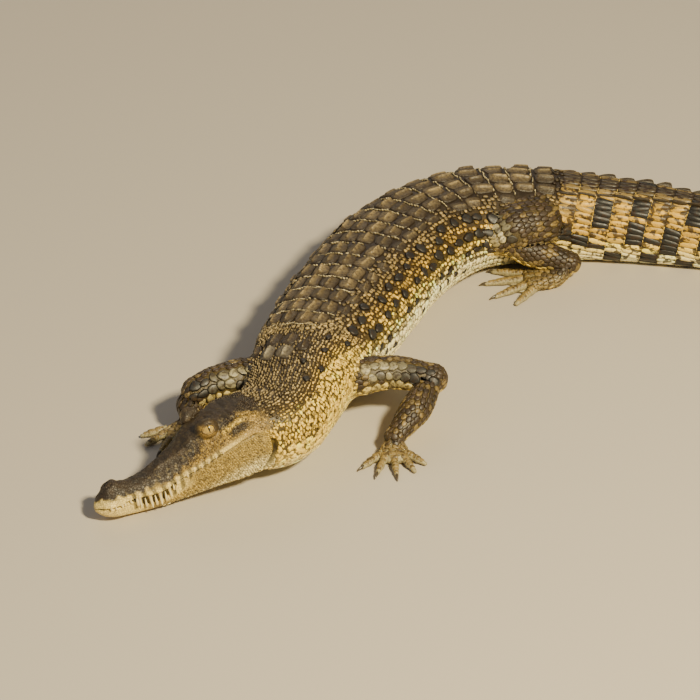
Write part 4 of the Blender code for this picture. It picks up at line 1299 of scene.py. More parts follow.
PILLOW = plate_shape(8, ((0.93, 0.93, 0, 0.55), (0.62, 0.62, 0, 0.95), (0, 0, 0, 1)), 2.4)
BEAD = plate_shape(8, ((0.9, 0.86, 0.04, 0.42), (0.5, 0.36, 0.2, 0.88), (0, 0, 0.32, 1)), 2.2)
BRICK = plate_shape(12, ((0.95, 0.94, 0, 0.58), (0.78, 0.76, 0, 0.94), (0, 0, 0, 1)), 4.5)
KEELED = plate_shape(16, ((0.96, 0.95, 0, 0.3), (0.88, 0.74, 0.03, 0.42), (0.8, 0.36, 0.06, 0.56),
                          (0.72, 0.12, 0.1, 0.92), (0.46, 0.04, 0.16, 1), (0, 0, 0.24, 1)), 3.6)
SLAB = plate_shape(12, ((0.97, 0.95, 0, 0.62), (0.88, 0.84, 0, 0.96), (0, 0, 0, 1)), 6.0)
FLAKE = plate_shape(6, ((0.84, 0.82, 0.03, 0.75), (0, 0, 0.1, 1)))
LOZENGE = plate_shape(10, ((0.94, 0.94, 0.01, 0.55), (0.66, 0.64, 0.04, 0.92), (0, 0, 0.06, 1)), 1.6)
VANE = plate_shape(12, ((0.97, 0.84, 0.03, 0.1), (0.86, 0.56, 0.1, 0.34), (0.62, 0.36, 0.26, 0.64),
                        (0.32, 0.2, 0.46, 0.92), (0, 0, 0.58, 1)), 2.2)
for kind, shape in (("pillow", PILLOW), ("keeled plate", KEELED), ("lozenge", LOZENGE), ("vane", VANE)):
    print("triangles of a %s: %d" % (kind, len(shape[1])))

# %% The ground the plates are laid on
hide_tree = BVHTree.FromPolygons([Vector(p) for p in hide_points],
                                 [tuple(p.vertices) for p in hide.data.polygons])


class BodyGround:
    """The body's map: a is the station, b metres round from the middle of the back."""

    def rolled(self, a, b):
        return wrapped_share(a, b + roll_away(a))

    def point(self, a, b):
        return body_point(a, self.rolled(a, b))

    def normal(self, a, b):
        return body_normal(a, self.rolled(a, b))

    def stretch(self, a, b):
        """Metres of skin for one metre of station and for one metre round."""
        share = self.rolled(a, b)
        ahead = body_point(a + 0.001, share) - body_point(a - 0.001, share)
        return np.maximum(np.linalg.norm(ahead, axis=1) / 0.002, 0.2), np.ones(len(a))

    def patch(self, a, b):
        """Where a plate's patch of the OFBake map starts: the body has its lower half."""
        return 0.02 + 0.94 * a / TOTAL_LENGTH, 0.03 + 0.5 * (share_of(a, b) + 2) / 4


class TubeGround:
    """A leg or a toe: a is metres along its rings, b radians round it from the front."""

    def __init__(self, rings, side, strip):
        self.q, self.across, self.rise = [np.array([r[k] for r in rings]) for k in (0, 2, 3)]
        self.wide, self.high = [np.array([r[k] for r in rings]) for k in (4, 5)]
        self.run = np.concatenate([[0], np.cumsum(np.linalg.norm(np.diff(self.q, axis=0), axis=1))])
        self.side, self.strip = side, strip         # strip: where its OFBake patches start, how tall

    def read(self, rows, a):
        rows = rows if rows.ndim > 1 else rows[:, None]
        return np.stack([np.interp(a, self.run, rows[:, k]) for k in range(rows.shape[1])], -1)

    def turn(self, b):
        return b if self.side > 0 else math.pi - b

    def point(self, a, b):
        t = self.turn(b)[:, None]
        wide, high = self.read(self.wide, a) * np.cos(t), self.read(self.high, a) * np.sin(t)
        p = self.read(self.q, a) + self.read(self.across, a) * wide + self.read(self.rise, a) * high
        p[:, 2] = np.maximum(p[:, 2], 0.0004)
        return p

    def normal(self, a, b):
        t = self.turn(b)[:, None]
        n = (self.read(self.across, a) * np.cos(t) / self.read(self.wide, a)
             + self.read(self.rise, a) * np.sin(t) / self.read(self.high, a))
        return n / np.linalg.norm(n, axis=1)[:, None]

    def stretch(self, a, b):
        return np.ones(len(a)), np.interp(a, self.run, (self.wide + self.high) / 2)

    def patch(self, a, b):
        start, tall = self.strip
        return 0.02 + 0.94 * a / self.run[-1], start + tall * (0.05 + 0.9 * ((b / math.tau) % 1))


PATCH_HALF = 0.0015                         # half width of one plate's patch in the OFBake map


def lay(shape, ground, places, own_part=None, reach=0.0045):
    """Lay one plate at each place; returns the laid points, faces and attributes.

    A plate is left out where the skin lies further than reach from the map, as under a leg, or
    where the skin is nearer to the other part, body or limb, than to the plate's own part.
    """
    verts, faces = shape
    n, m = len(places["a"]), len(verts)
    a, b = places["a"], places["b"]
    x, y, z = verts.T
    # the outline of each plate, waved a little, stretched and turned
    turn = np.arctan2(y, x)
    p1, p2 = rng.uniform(0, math.tau, (2, n, 1))
    wave = np.cos(2 * turn + p1) * 0.6 + np.cos(3 * turn + p2) * 0.5
    shape_noise = 1 + places.get("ragged", 0.1) * wave
    lx = x * places["length"][:, None] / 2 * shape_noise
    ly = y * places["width"][:, None] / 2 * shape_noise
    c, s = np.cos(places["twist"])[:, None], np.sin(places["twist"])[:, None]
    sa, sb = ground.stretch(a, b)
    along = a[:, None] + (lx * c - ly * s) / sa[:, None]
    across = b[:, None] + (lx * s + ly * c) / sb[:, None]
    # each point drops to the nearest spot of the skin
    base = ground.point(along.ravel(), across.ravel())
    near = [hide_tree.find_nearest(p) for p in base]
    spot = np.array([f[0] for f in near])
    keep = np.array([f[3] for f in near]).reshape(n, m).mean(1) < reach
    if own_part:
        mine, other = (body_tree, limb_tree) if own_part == "body" else (limb_tree, body_tree)
        keep &= np.array([mine.find(p)[2] < other.find(p)[2] + 0.0015
                          for p in spot.reshape(n, m, 3).mean(1)])
    # and rises along a way half its own and half the plate's; the foot sinks instead
    lean = places.get("lean", np.zeros(n))[:, None] * np.clip(x, -1, 1) * (z > 0.05)
    sink = places.get("sink", np.full(n, 0.0009))[:, None]
    height = np.where(z[None] < 0.01, -sink, places["height"][:, None] * z + lean)
    out = np.repeat(ground.normal(a, b), m, axis=0)
    blend = ground.normal(along.ravel(), across.ravel()) * 0.5 + out * 0.5
    blend /= np.linalg.norm(blend, axis=1)[:, None]
    point = spot + blend * height.reshape(-1, 1)
    point[:, 2] = np.maximum(point[:, 2], 0.0)
    u0, v0 = ground.patch(a, b)
    uv = np.stack([u0[:, None] + x * PATCH_HALF, v0[:, None] + y * PATCH_HALF], -1)
    return dict(points=point.reshape(n, m, 3)[keep], faces=faces, height=z, uv=uv[keep],
                tone=places["tone"][keep], foot=places["foot"][keep])


def coat_piece(name, batches, material, slot):
    """Join batches of laid plates into one piece with its colours and its OFBake patches."""
    faces, tones, feet, heights, start = [], [], [], [], 0
    for part in batches:
        n, m = part["points"].shape[:2]
        faces.append((part["faces"][None] + (start + np.arange(n) * m)[:, None, None]).reshape(-1, 3))
        tones.append(np.repeat(part["tone"], m, axis=0))
        feet.append(np.repeat(part["foot"], m, axis=0))
        heights.append(np.tile(part["height"], n))
        start += n * m
    faces = np.concatenate(faces)
    points = np.concatenate([part["points"].reshape(-1, 3) for part in batches])
    uvs = np.concatenate([part["uv"].reshape(-1, 2) for part in batches])
    mesh = bpy.data.meshes.new(name)
    mesh.from_pydata(points, [], faces, shade_flat=False)
    put_colours(mesh, "tone", np.concatenate(tones))
    put_colours(mesh, "foot", np.concatenate(feet))
    put_values(mesh, "height", np.concatenate(heights))
    layer = mesh.uv_layers.new(name="OFBake")
    layer.data.foreach_set("uv", uvs[faces.ravel()].astype(np.float32).ravel())
    mesh.materials.append(material)
    thing = add_to_scene(name, mesh)
    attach(thing, "root")
    plates = sum(len(part["points"]) for part in batches)
    print("%s: %d plates, %d triangles" % (name, plates, len(faces)))


def places_of(a, b, length, width, height, tone, foot, size_drift=0.1, tone_drift=0.12, **more):
    """Fill in the places of plates and vary each one a little.

    More may give ragged, the share by which outlines wave, sink, how deep the foot goes, and
    lean, how much higher the rear edge stands than the front.
    """
    n = len(a)
    vary = rng.normal(0, 1, (4, n)).clip(-2, 2)
    light = (1 + tone_drift * vary[2])[:, None]
    places = dict(a=a, b=b, twist=0.1 * vary[0],
                  length=np.full(n, length) * (1 + size_drift * vary[0]),
                  width=np.full(n, width) * (1 + size_drift * vary[1]),
                  height=np.full(n, height) * (1 + 0.15 * vary[3]),
                  tone=np.clip(tone * light, 0, 1), foot=np.clip(foot * light, 0, 1))
    for key, value in more.items():
        places[key] = np.full((n, 1) if key == "ragged" else n, value)
    return places


def only(places, keep):
    """The chosen ones of some places."""
    return {key: values[keep] for key, values in places.items()}


GROUND = BodyGround()

# %% [markdown]
# ## Armour of the back
# Cross rows of bony plates, 31 mm apart, lie on the back; each is an oval with a low keel, and a
# pale line of tiny scales runs in the fold between two rows.  On the neck, four large plates
# stand in a square with one more at either side, and four small ones lie behind the skull.

# %% Back plates
FIRST_ROW, LAST_ROW = 0.425, 0.965
ROW_COUNT = int((LAST_ROW - FIRST_ROW) / SCUTE_PITCH) + 1
WIDEST_STATION = 0.56
# metres from the middle of the back, width, length, height
ROW_ACROSS = ((0.0122, 0.0242, 0.0268, 0.0058), (0.0364, 0.0236, 0.0262, 0.0052),
              (0.059, 0.0165, 0.02, 0.004))


def slimness(s):
    """How wide the back is against its widest place."""
    return min(1.0, float(girth(s)[0] / girth(WIDEST_STATION)[0]))


def back_plates():
    """Rows of keeled plates; the outer lane is patchy and darker."""
    rows = []
    for k in range(ROW_COUNT):
        s = FIRST_ROW + SCUTE_PITCH * k
        slim = slimness(s)
        for lane, (away, wide, long, high) in enumerate(ROW_ACROSS):
            for side in (1, -1):
                if lane == 2 and (rng.uniform() < 0.25 or not 0.44 < s < 0.9):
                    continue
                drift = rng.normal(0, 0.0008, 2)
                rows.append((s + drift[0] + 0.003 * lane, side * (away * slim + drift[1]), long,
                             wide * slim, high))
    a, b, length, width, height = np.array(rows).T
    tone = mix(BACK_DARK, BACK_BROWN, rng.uniform(0, 1, len(a)) * 0.6 + 0.12)
    tone = mix(tone, DARK_SCALE, 0.35 * (np.abs(b) > 0.05))
    return places_of(a, b, length, width, height, tone, GROOVE_BROWN, size_drift=0.07, ragged=0.1)


def fold_lines():
    """Tiny pale scales in the folds between two rows of plates."""
    rows = []
    for k in range(ROW_COUNT):
        s = FIRST_ROW + SCUTE_PITCH * (k - 0.5)
        slim = slimness(s)
        phase = rng.uniform(0, math.tau)
        for away in np.arange(-0.062, 0.0501, 0.004):
            if rng.uniform() < 0.1 + 6.0 * max(0, away):
                continue
            bow = 0.0035 * (away / 0.05) ** 2 + 0.001 * math.sin(away * 260 + phase)
            rows.append((s + bow + rng.normal(0, 0.0003), away * slim))
    a, b = np.array(rows).T
    return places_of(a, b, 0.0019, 0.0048, 0.0022, BACK_FOLD, BACK_BROWN, size_drift=0.15,
                     tone_drift=0.25, ragged=0.14)


# station, metres from the middle of the back, length, width, height, colour; laid on both sides
NECK_PLATES = ((0.35, 0.0118, 0.026, 0.0215, 0.0062, PLATE_GREY),
               (0.376, 0.0112, 0.023, 0.02, 0.0056, BACK_DARK * 1.3),
               (0.364, 0.033, 0.022, 0.0155, 0.0048, BACK_DARK * 1.3),
               (0.26, 0.0075, 0.01, 0.008, 0.0028, BACK_BROWN),
               (0.262, 0.022, 0.01, 0.008, 0.0028, BACK_BROWN))


def neck_plates():
    both = [(s, side * away, *more) for s, away, *more in NECK_PLATES for side in (1, -1)]
    *numbers, tone = zip(*both)
    a, b, length, width, height = np.array(numbers)
    return places_of(a, b, length, width, height, np.array(tone), GROOVE_BROWN, size_drift=0.05)


BACK, NECK, FOLDS = back_plates(), neck_plates(), fold_lines()
coat_piece("back_plates", [lay(KEELED, GROUND, BACK)], plate_keratin, "trunk_skin")
coat_piece("back_folds", [lay(PILLOW, GROUND, FOLDS, "body")], scale_keratin, "trunk_skin")
coat_piece("neck_plates", [lay(KEELED, GROUND, NECK)], plate_keratin, "neck_skin")


# %% [markdown]
# ## Flanks and neck
# Between the plates and the belly lie small pillow scales in lanes along the body.  Among them
# stand much larger dark ovals, in rows that line up with the plates of the back.  On the neck
# the scales are small pointed beads with pale tips.

# %% Lanes of small scales
def lane(away, start, end, pitch, phase):
    """Stations of scales at equal real distances along one lane of the body."""
    s = np.arange(start, end, 0.001)
    p = GROUND.point(s, np.full(len(s), away))
    run = np.concatenate([[0], np.cumsum(np.linalg.norm(np.diff(p, axis=0), axis=1))])
    return np.interp(np.arange(pitch * phase, run[-1], pitch), run, s)


def clear_of(a, b, others, margin):
    """Which places don't fall on the larger plates already laid."""
    free = np.ones(len(a), bool)
    sa = GROUND.stretch(a, b)[0]
    for oa, ob, ol, ow in zip(others["a"], others["b"], others["length"], others["width"]):
        free &= (((a - oa) * sa / (ol / 2 + margin)) ** 2 + ((b - ob) / (ow / 2 + margin)) ** 2) > 1
    return free


# metres from the middle of the back, length, width, and how often one stands in its place
OVAL_ROWS = ((0.084, 0.0215, 0.016, 0.92), (0.1085, 0.021, 0.016, 0.92),
             (0.132, 0.0165, 0.0125, 0.55), (0.151, 0.012, 0.0095, 0.28))
# single ovals of the neck and the shoulder: station, metres from the middle of the back
NECK_OVALS = ((0.335, 0.04), (0.362, 0.062), (0.392, 0.058), (0.398, 0.083), (0.33, 0.066),
              (0.305, 0.052))


def flank_ovals():
    """Large dark scales in staggered rows on the flanks, smaller towards the belly."""
    rows = []
    for side in (1, -1):
        for k in range(18):
            for j, (away, long, wide, often) in enumerate(OVAL_ROWS):
                s = 0.428 + SCUTE_PITCH * (k + 0.5 * (j % 2)) + rng.normal(0, 0.0045)
                if rng.uniform() > often or s > 0.975:
                    continue
                slim = float(sum(girth(s)) / sum(girth(WIDEST_STATION)))
                rows.append((s, side * (away * slim + rng.normal(0, 0.0035)),
                             long * rng.uniform(0.65, 1.15), wide * rng.uniform(0.7, 1.15)))
    for s, away in NECK_OVALS:
        for side in (1, -1):
            rows.append((s + rng.normal(0, 0.002), side * away, 0.0125, 0.0092))
    a, b, length, width = np.array(rows).T
    return places_of(a, b, length, width, 0.0026, DARK_SCALE, GROOVE_DEEP, size_drift=0.05,
                     ragged=0.17)


OVALS = flank_ovals()


def read_edge(edge, s):
    """An edge between coats: one share everywhere, or (station, share) pairs."""
    return np.interp(s, *np.array(edge).T) if isinstance(edge, tuple) else edge


def small_scales(start, end, lanes, pitch, size, height, taken, inner, outer, paint=body_tones,
                 **more):
    """Small scales in lanes between two shares, left and right, clear of larger plates."""
    a, b = [], []
    for side in (1, -1):
        for j, away in enumerate(lanes):
            phase = 0.5 * (j % 2) + rng.uniform(-0.1, 0.1) + 0.2
            s = lane(side * away, start, end, pitch, phase)
            a.append(s)
            b.append(np.full(len(s), side * away))
    a, b = np.concatenate(a), np.concatenate(b)
    a = a + rng.normal(0, pitch * 0.12, len(a))
    b = b + rng.normal(0, size[1] * 0.18, len(b))
    share = np.abs(share_of(a, b))
    inside = (share > read_edge(inner, a)) & (share < read_edge(outer, a))
    a, b = a[inside], b[inside]
    for others in taken:
        free = clear_of(a, b, others, size[0] * 0.14)
        a, b = a[free], b[free]
    tone, foot = paint(a, share_of(a, b), GROUND.point(a, b))
    return places_of(a, b, size[0], size[1], height, tone, foot, **more)


# %% Small scales of the flanks and the nape
# edges between two coats: (station, share)
PLATE_EDGE = ((0.4, 0.0), (0.425, 0.42), (0.86, 0.44), (0.93, 0.5), (0.952, 0.5), (0.953, 0.0))
NAPE_EDGE = ((0.236, 0.98), (0.27, 0.92), (0.31, 0.86), (0.34, 0.88), (0.405, 1.0))
FLANK = small_scales(0.395, 0.99, np.arange(0.006, 0.215, 0.0064), 0.007, (0.0066, 0.0058), 0.0023,
                     (OVALS, BACK), PLATE_EDGE, 1.2, tone_drift=0.34, size_drift=0.14, ragged=0.16)
tail_edge = FIRST_WHORL + whorl_slant(FLANK["a"], share_of(FLANK["a"], FLANK["b"])) - 0.001
FLANK = only(FLANK, FLANK["a"] < tail_edge)
NAPE = small_scales(0.236, 0.425, np.arange(0.0023, 0.16, 0.0047), 0.0053, (0.0054, 0.0038), 0.0023,
                    (NECK, BACK, OVALS), 0.0, NAPE_EDGE, tone_drift=0.34, size_drift=0.13, ragged=0.14)
print("small scales:", len(FLANK["a"]), "on the flanks,", len(NAPE["a"]), "on the nape")


# %% Flakes of the cheeks, the temples and the jaws
def head_paint(s, share, points):
    """Colours of the head's small scales: those of the skin, with dark ones among them."""
    tone = head_tone(s, share, points)
    upper = np.abs(share) < 1
    dark = smooth_step(wander(points, 0.0036, 31.0), -0.1, 0.3) * np.where(upper, 0.72, 0.08)
    crown = mix(np.clip(tone * 1.2, 0, 1), GROOVE_BROWN, dark)
    # painted shade: the groove between the flakes is the skin's own colour darkened
    return crown, tone * np.where(upper, 0.3, 0.6)[:, None]


def off_crease(a, b, margin):
    """Which places lie clear of the fold behind the jaw."""
    return near_line(a, girth(a)[0] - np.abs(b), JAW_CREASE)[0] > margin


FLAKE_EDGE = ((0.095, 0.82), (0.125, 0.66), (0.16, 0.52), (0.2, 0.4), (0.232, 0.02))


def head_scales():
    """Scales 3 mm across, left out over the mouth and round the eyes."""
    places = small_scales(0.095, 0.239, np.arange(0.0012, 0.125, 0.0029), 0.0031, (0.0031, 0.0027),
                          0.0008, (), FLAKE_EDGE, 1.6, head_paint, tone_drift=0.22,
                          size_drift=0.12, ragged=0.12, sink=0.0004)
    a, b = places["a"], places["b"]
    mouth = girth(a)[0] - np.abs(b)
    keep = (mouth > 0.0085) | (mouth < np.where(a < 0.13, -0.0165, -0.0045)) | (a > 0.222)
    keep &= off_crease(a, b, 0.0019) & (to_eye(GROUND.point(a, b)) > LID_REACH + LID_FADE)
    return only(places, keep)


flakes = lay(FLAKE, GROUND, head_scales(), "body", 0.0035)
coat_piece("head_scales", [flakes], scale_keratin, "head_skin")


# %% [markdown]
# ## Belly and throat
# Under the belly and the chin the scales are flat and nearly square, in straight cross rows.  On
# the throat they are drops a little wider than long, in lanes, with dark grooves between them.

# %% Cross rows underneath
ROW_GROOVE = 0.0006                         # metres between two scales


def cross_rows(start, end, pitch, inner, across, height, **more):
    """Scales in cross rows under the body, from the left share round to the right."""
    rows = []
    s = start
    while s < end:
        top, under = girth(s)
        half = under * (2 - inner)
        count = max(2, int(round(2 * half / across)))
        wide = 2 * half / count
        for j in range(count):
            x = -half + wide * (j + 0.5)
            rows.append((s, (top + under - abs(x)) * (1 if x < 0 else -1), wide - ROW_GROOVE))
        s += pitch
    a, b, width = np.array(rows).T
    length = pitch * GROUND.stretch(a, b)[0] - ROW_GROOVE
    tone, foot = body_tones(a, share_of(a, b), GROUND.point(a, b))
    return places_of(a, b, length, width, height, tone, foot, size_drift=0.02, tone_drift=0.07,
                     **more)


THROAT_EDGE = ((0.236, 0.93), (0.27, 0.87), (0.31, 0.82), (0.34, 0.84), (0.405, 0.96))
DROP_EDGE = 1.28                            # the share where small drops give way to larger scales
BELLY = cross_rows(0.4, 0.985, 0.012, 1.2, 0.0125, 0.0017, ragged=0.04)
THROAT = small_scales(0.232, 0.405, np.arange(0.1, 0.24, 0.008), 0.0074, (0.0085, 0.0092), 0.0014,
                      (OVALS,), DROP_EDGE, 2.1, size_drift=0.07, tone_drift=0.16, ragged=0.09)
DROPS = small_scales(0.232, 0.41, np.arange(0.048, 0.17, 0.006), 0.005, (0.0057, 0.0074), 0.0018,
                     (OVALS,), THROAT_EDGE, DROP_EDGE, size_drift=0.14, tone_drift=0.22, ragged=0.14)
CHIN = cross_rows(0.085, 0.232, 0.0062, 1.6, 0.006, 0.0009, ragged=0.08)
print("underneath:", len(BELLY["a"]), "belly,", len(THROAT["a"]) + len(DROPS["a"]), "throat scales")


# %% The crease stays bare, some scales are dark, and the coats of neck and trunk are laid
def clear_of_crease(places):
    margin = 0.0006 + places["width"].mean() * 0.2
    return only(places, off_crease(places["a"], places["b"], margin))


DROPS, THROAT, CHIN = clear_of_crease(DROPS), clear_of_crease(THROAT), clear_of_crease(CHIN)
for group, part in ((DROPS, 0.06), (NAPE, 0.16), (FLANK, 0.12)):
    group["tone"][rng.uniform(0, 1, len(group["a"])) < part] *= 0.3
for name, slot, coats in (
        ("flank_scales", "trunk_skin", ((PILLOW, FLANK, 0.0065), (LOZENGE, OVALS, 0.0045))),
        ("nape_scales", "neck_skin", ((BEAD, NAPE, 0.0045),)),
        ("belly_scales", "trunk_skin", ((BRICK, BELLY, 0.0045),)),
        ("throat_scales", "neck_skin", ((BRICK, THROAT, 0.0045), (LOZENGE, DROPS, 0.0045)))):
    laid = [lay(shape, GROUND, places, "body", reach) for shape, places, reach in coats]
    coat_piece(name, laid, scale_keratin, slot)
coat_piece("chin_scales", [lay(PILLOW, GROUND, CHIN)], scale_keratin, "jaw_skin")


# %% [markdown]
# ## Rings of the tail
# The tail is ringed: each whorl is a belt of upright oblong scales, gold with dark flecks.  Black
# blocks stand on the whorls, now higher and now lower, and cream folds show between the belts.
# The crest is a double row of vanes that becomes single.

# %% Belts of upright scales
def tail_scales():
    """Belts of oblong scales, each leaning back towards the ridge of the tail."""
    rows = []
    for s, pitch in whorl_marks():
        middle = s + pitch / 2
        whole = float(sum(girth(middle)))
        across = np.interp(middle, (0.985, 1.25, 1.7), (0.0084, 0.0078, 0.0062))
        count = max(5, int(round(whole / across)))
        wide = whole / count
        for side in (1, -1):
            for j in range(count):
                away = wide * (j + 0.5)
                slant = float(whorl_slant(middle, share_of(middle, away)))
                rows.append((middle + slant, side * away, pitch - 0.001, wide - 0.0002))
    a, b, length, width = np.array(rows).T
    share = share_of(a, b)
    tone, foot = body_tones(a, share, GROUND.point(a, b))
    dark = in_block(a + rng.normal(0, 0.0008, len(a)), share + rng.normal(0, 0.02, len(a)))
    dark |= (np.abs(share) > 0.25) & (np.abs(share) < 1.15) & (rng.uniform(0, 1, len(a)) < 0.05)
    tone = np.where(dark[:, None], TAIL_BLACK, tone)
    foot = np.where(dark[:, None], GROOVE_DEEP, foot)
    height = np.interp(a, (0.985, 1.85), (0.002, 0.001))
    return places_of(a, b, length, width, height, tone, foot, size_drift=0.015, tone_drift=0.16,
                     ragged=0.03)


LAST_LINE = 1.6                             # the folds are too fine to show behind this station
CREST_JOINS = 1.42                          # here the double crest becomes single


def whorl_lines():
    """Thin pale folds between two whorls, as tiny upright scales."""
    rows = []
    for s in [start for start, _ in whorl_marks()[1:] if start < LAST_LINE]:
        whole = float(sum(girth(s)))
        for side in (1, -1):
            for away in np.arange(0.014, whole - 0.002, 0.0048):
                rows.append((s + float(whorl_slant(s, share_of(s, away))), side * away))
    a, b = np.array(rows).T
    tone = body_tones(a, share_of(a, b), GROUND.point(a, b))[0]
    return places_of(a, b, 0.0014, 0.0052, 0.0014, mix(tone, FLANK_PALE, 0.5),
                     GROOVE_DEEP, size_drift=0.12, tone_drift=0.18, ragged=0.08)


def crest_vanes():
    """Two vanes for each whorl, drawing together and growing, then one that shrinks again."""
    rows = []
    for s, pitch in whorl_marks():
        middle = s + pitch / 2
        grown = np.clip((middle - TAIL_START) / 0.42, 0, 1)
        if middle < CREST_JOINS:
            apart = math.radians(34 - 21 * grown)
            row = SECTION_ROWS[int(middle * 1000)][None]
            away = float(outline(row, np.array([math.pi / 2 - apart]))[0][0]) * 1.03
            for side in (1, -1):
                rows.append((middle, side * away, pitch * 1.06, 0.0085 - 0.003 * grown,
                             0.005 + 0.0085 * grown))
        else:
            worn = np.clip((middle - 1.45) / 0.38, 0, 1)
            rows.append((middle, 0.0, pitch * 1.06, 0.0048, 0.0155 - 0.0105 * worn))
    a, b, length, width, height = np.array(rows).T
    return places_of(a, b, length, width, height, BACK_DARK * 0.8,
                     BACK_DARK * 1.1, size_drift=0.04, sink=0.0016)


TAIL, CREST, RINGS = tail_scales(), crest_vanes(), whorl_lines()
belts = [lay(SLAB, GROUND, TAIL, "body"), lay(FLAKE, GROUND, RINGS, "body")]
coat_piece("tail_scales", belts, tail_keratin, "tail_skin")
coat_piece("tail_crest", [lay(VANE, GROUND, CREST)], plate_keratin, "tail_skin")


# %% [markdown]
# ## Legs
# Leg scales overlap like tiles, pointed towards the toes.  Most are dark with a tan groove, and
# some are tan.  Large plates cover the front of the upper arm, the upper ones with painted
# highlights near the shoulder and the lowest of them cream, and rows of large cream ones edge
# the thigh above the knee.

# %% Tiles of the legs
LEG_PITCH, LEG_ACROSS = 0.0074, 0.008       # metres between rows, and round the leg


def leg_places(ground, start, end):
    """Tiles in rings round a length of a leg, cream underneath."""
    rows = []
    for i, t in enumerate(np.arange(start, end, LEG_PITCH)):
        r = float(np.interp(t, ground.run, (ground.wide + ground.high) / 2))
        count = max(8, int(round(math.tau * r / LEG_ACROSS)))
        for j in range(count):
            rows.append((t + rng.normal(0, 0.0005),
                         math.tau * (j + 0.5 * (i % 2)) / count + rng.normal(0, 0.02),
                         math.tau * r / count * 1.1))
    a, b, width = np.array(rows).T
    tone, foot = limb_tones(ground.point(a, b))
    front = (b + math.pi) % math.tau - math.pi          # 0 is the front, a quarter turn the top
    below = smooth_step(-np.sin(front), 0.25, 0.75)
    tone = mix(tone, FLANK_PALE, below * 0.85)
    foot = mix(foot, GROOVE_BROWN * 1.5, below * 0.7)
    net = smooth_step(rng.uniform(0, 1, len(a)), 0.74, 0.82)
    tone = mix(tone, LEG_TAN, net * 0.7)
    return places_of(a, b, LEG_PITCH * 1.55, width, 0.0013, tone, foot, size_drift=0.07,
                     tone_drift=0.16, ragged=0.06, lean=0.0005)


def arm_rows(end):
    """(place, turn, paleness, gold) of three columns of large plates down the upper arm; the paleness
    of the upper two columns is a painted highlight.
    """
    rows = []
    for i, t in enumerate(np.arange(end * 0.3, end - 0.014, 0.0124)):
        # painted highlight: the two upper columns are paler near the shoulder, as glints on glossy dark
        # plates; the lowest column is gold
        columns = ((1.0, 0.6 - 0.11 * i), (0.34, 0.45 - 0.09 * i), (-0.32, 0.95))
        for j, (turn, light) in enumerate(columns):
            rows.append((t + 0.0062 * (j % 2), turn + rng.normal(0, 0.05),
                         max(0.0, light) * rng.uniform(0.0, 1.0) ** 0.7, j == 2))
    return rows


def thigh_rows(end):
    """The same for the cream rows round the lower edge of the thigh."""
    rows = []
    for i, (back, light) in enumerate(((0.004, 1.0), (0.0145, 0.95), (0.025, 0.75), (0.0355, 0.2))):
        for turn in np.arange(-1.3, 2.9, 0.31):
            slide = 0.016 * max(0.0, 0.5 - turn)
            share = 1.0 if i == 0 else 0.15 if rng.uniform() < 0.3 else rng.uniform(0.6, 1.0)
            rows.append((end - back - slide, turn + 0.155 * (i % 2) + rng.normal(0, 0.03),
                         light * share, i < 2))
    return rows


def large_leg_plates(end, fore):
    """Big plates on the front of the upper arm, and the cream edge of the thigh."""
    a, b, pale, gold = np.array(arm_rows(end) if fore else thigh_rows(end)).T
    # pale is a painted highlight on the upper columns of the arm, and real cream on its lowest column
    # and on the thigh
    tone = mix(DARK_SCALE * 1.3, LEG_PALE, pale)
    tone = mix(tone, FLANK_PALE, gold * pale * 0.75)
    size = 1.0 if fore else 0.74
    return places_of(a, b, 0.0176 * size, 0.0156 * size, 0.0014 * size, tone,
                     GROOVE_DEEP, size_drift=0.14, ragged=0.14, lean=0.001)


def toe_places(ground):
    """A row of cross plates down the top of a toe."""
    pitch = 0.0052
    count = max(3, int(round(ground.run[-1] * 0.74 / pitch)))
    a = ground.run[-1] * 0.2 + pitch * np.arange(count)
    b = np.full(count, math.pi / 2)
    width = np.interp(a, ground.run, ground.wide) * 2.1
    tone, foot = limb_tones(ground.point(a, b))
    return places_of(a, b, 0.0058, width, 0.0011, mix(tone, LEG_TAN, 0.35), foot, size_drift=0.04,
                     ragged=0.04, lean=0.0003)


def under_plates(places, large, ground):
    """Which tiles lie under a large plate; a plate covers 1 / 1.75 of its length and width."""
    turn = (places["b"][:, None] - large["b"][None] + math.pi) % math.tau - math.pi
    r = ground.stretch(places["a"], places["b"])[1][:, None]
    along = (places["a"][:, None] - large["a"][None]) * 1.75 / large["length"]
    return (along ** 2 < 1 - (turn * r * 1.75 / large["width"]) ** 2).any(1)


# %% Each leg is one piece: its three lengths and its toes
for number, (limb, spec) in enumerate(LIMBS.items()):
    batches = []
    for kind, rings in enumerate(LIMB_RINGS[limb]):
        ground = TubeGround(rings, spec["side"], (0.56 + 0.029 * (3 * number + kind), 0.026))
        end = ground.run[-1]
        places = leg_places(ground, 0.008 if kind == 0 else 0.01, end - 0.002)
        if kind == 0:
            large = large_leg_plates(end, spec["fore"])
            batches.append(lay(LOZENGE, ground, large, "limb"))
            places = only(places, ~under_plates(places, large, ground))
        batches.append(lay(LOZENGE, ground, places, "limb", 0.0035))
    thick = FORE_TOE_RADIUS if spec["fore"] else HIND_TOE_RADIUS
    for n, (root, way, reach, *_) in enumerate(TOES[limb]):
        strip = (0.91 + 0.0042 * (5 * number + n), 0.004)
        ground = TubeGround(toe_rings(root, way, reach, thick), spec["side"], strip)
        batches.append(lay(BRICK, ground, toe_places(ground), "limb", 0.003))
    coat_piece(limb + "_scales", batches, scale_keratin, "limb_skin")


# %% [markdown]
# ## Eyes
# Each eye is a globe 21 mm across, sunk between the lids.  Its iris is gold with dark radial
# threads, and the pupil is an upright slit.  A wet clear coat gives the glint.

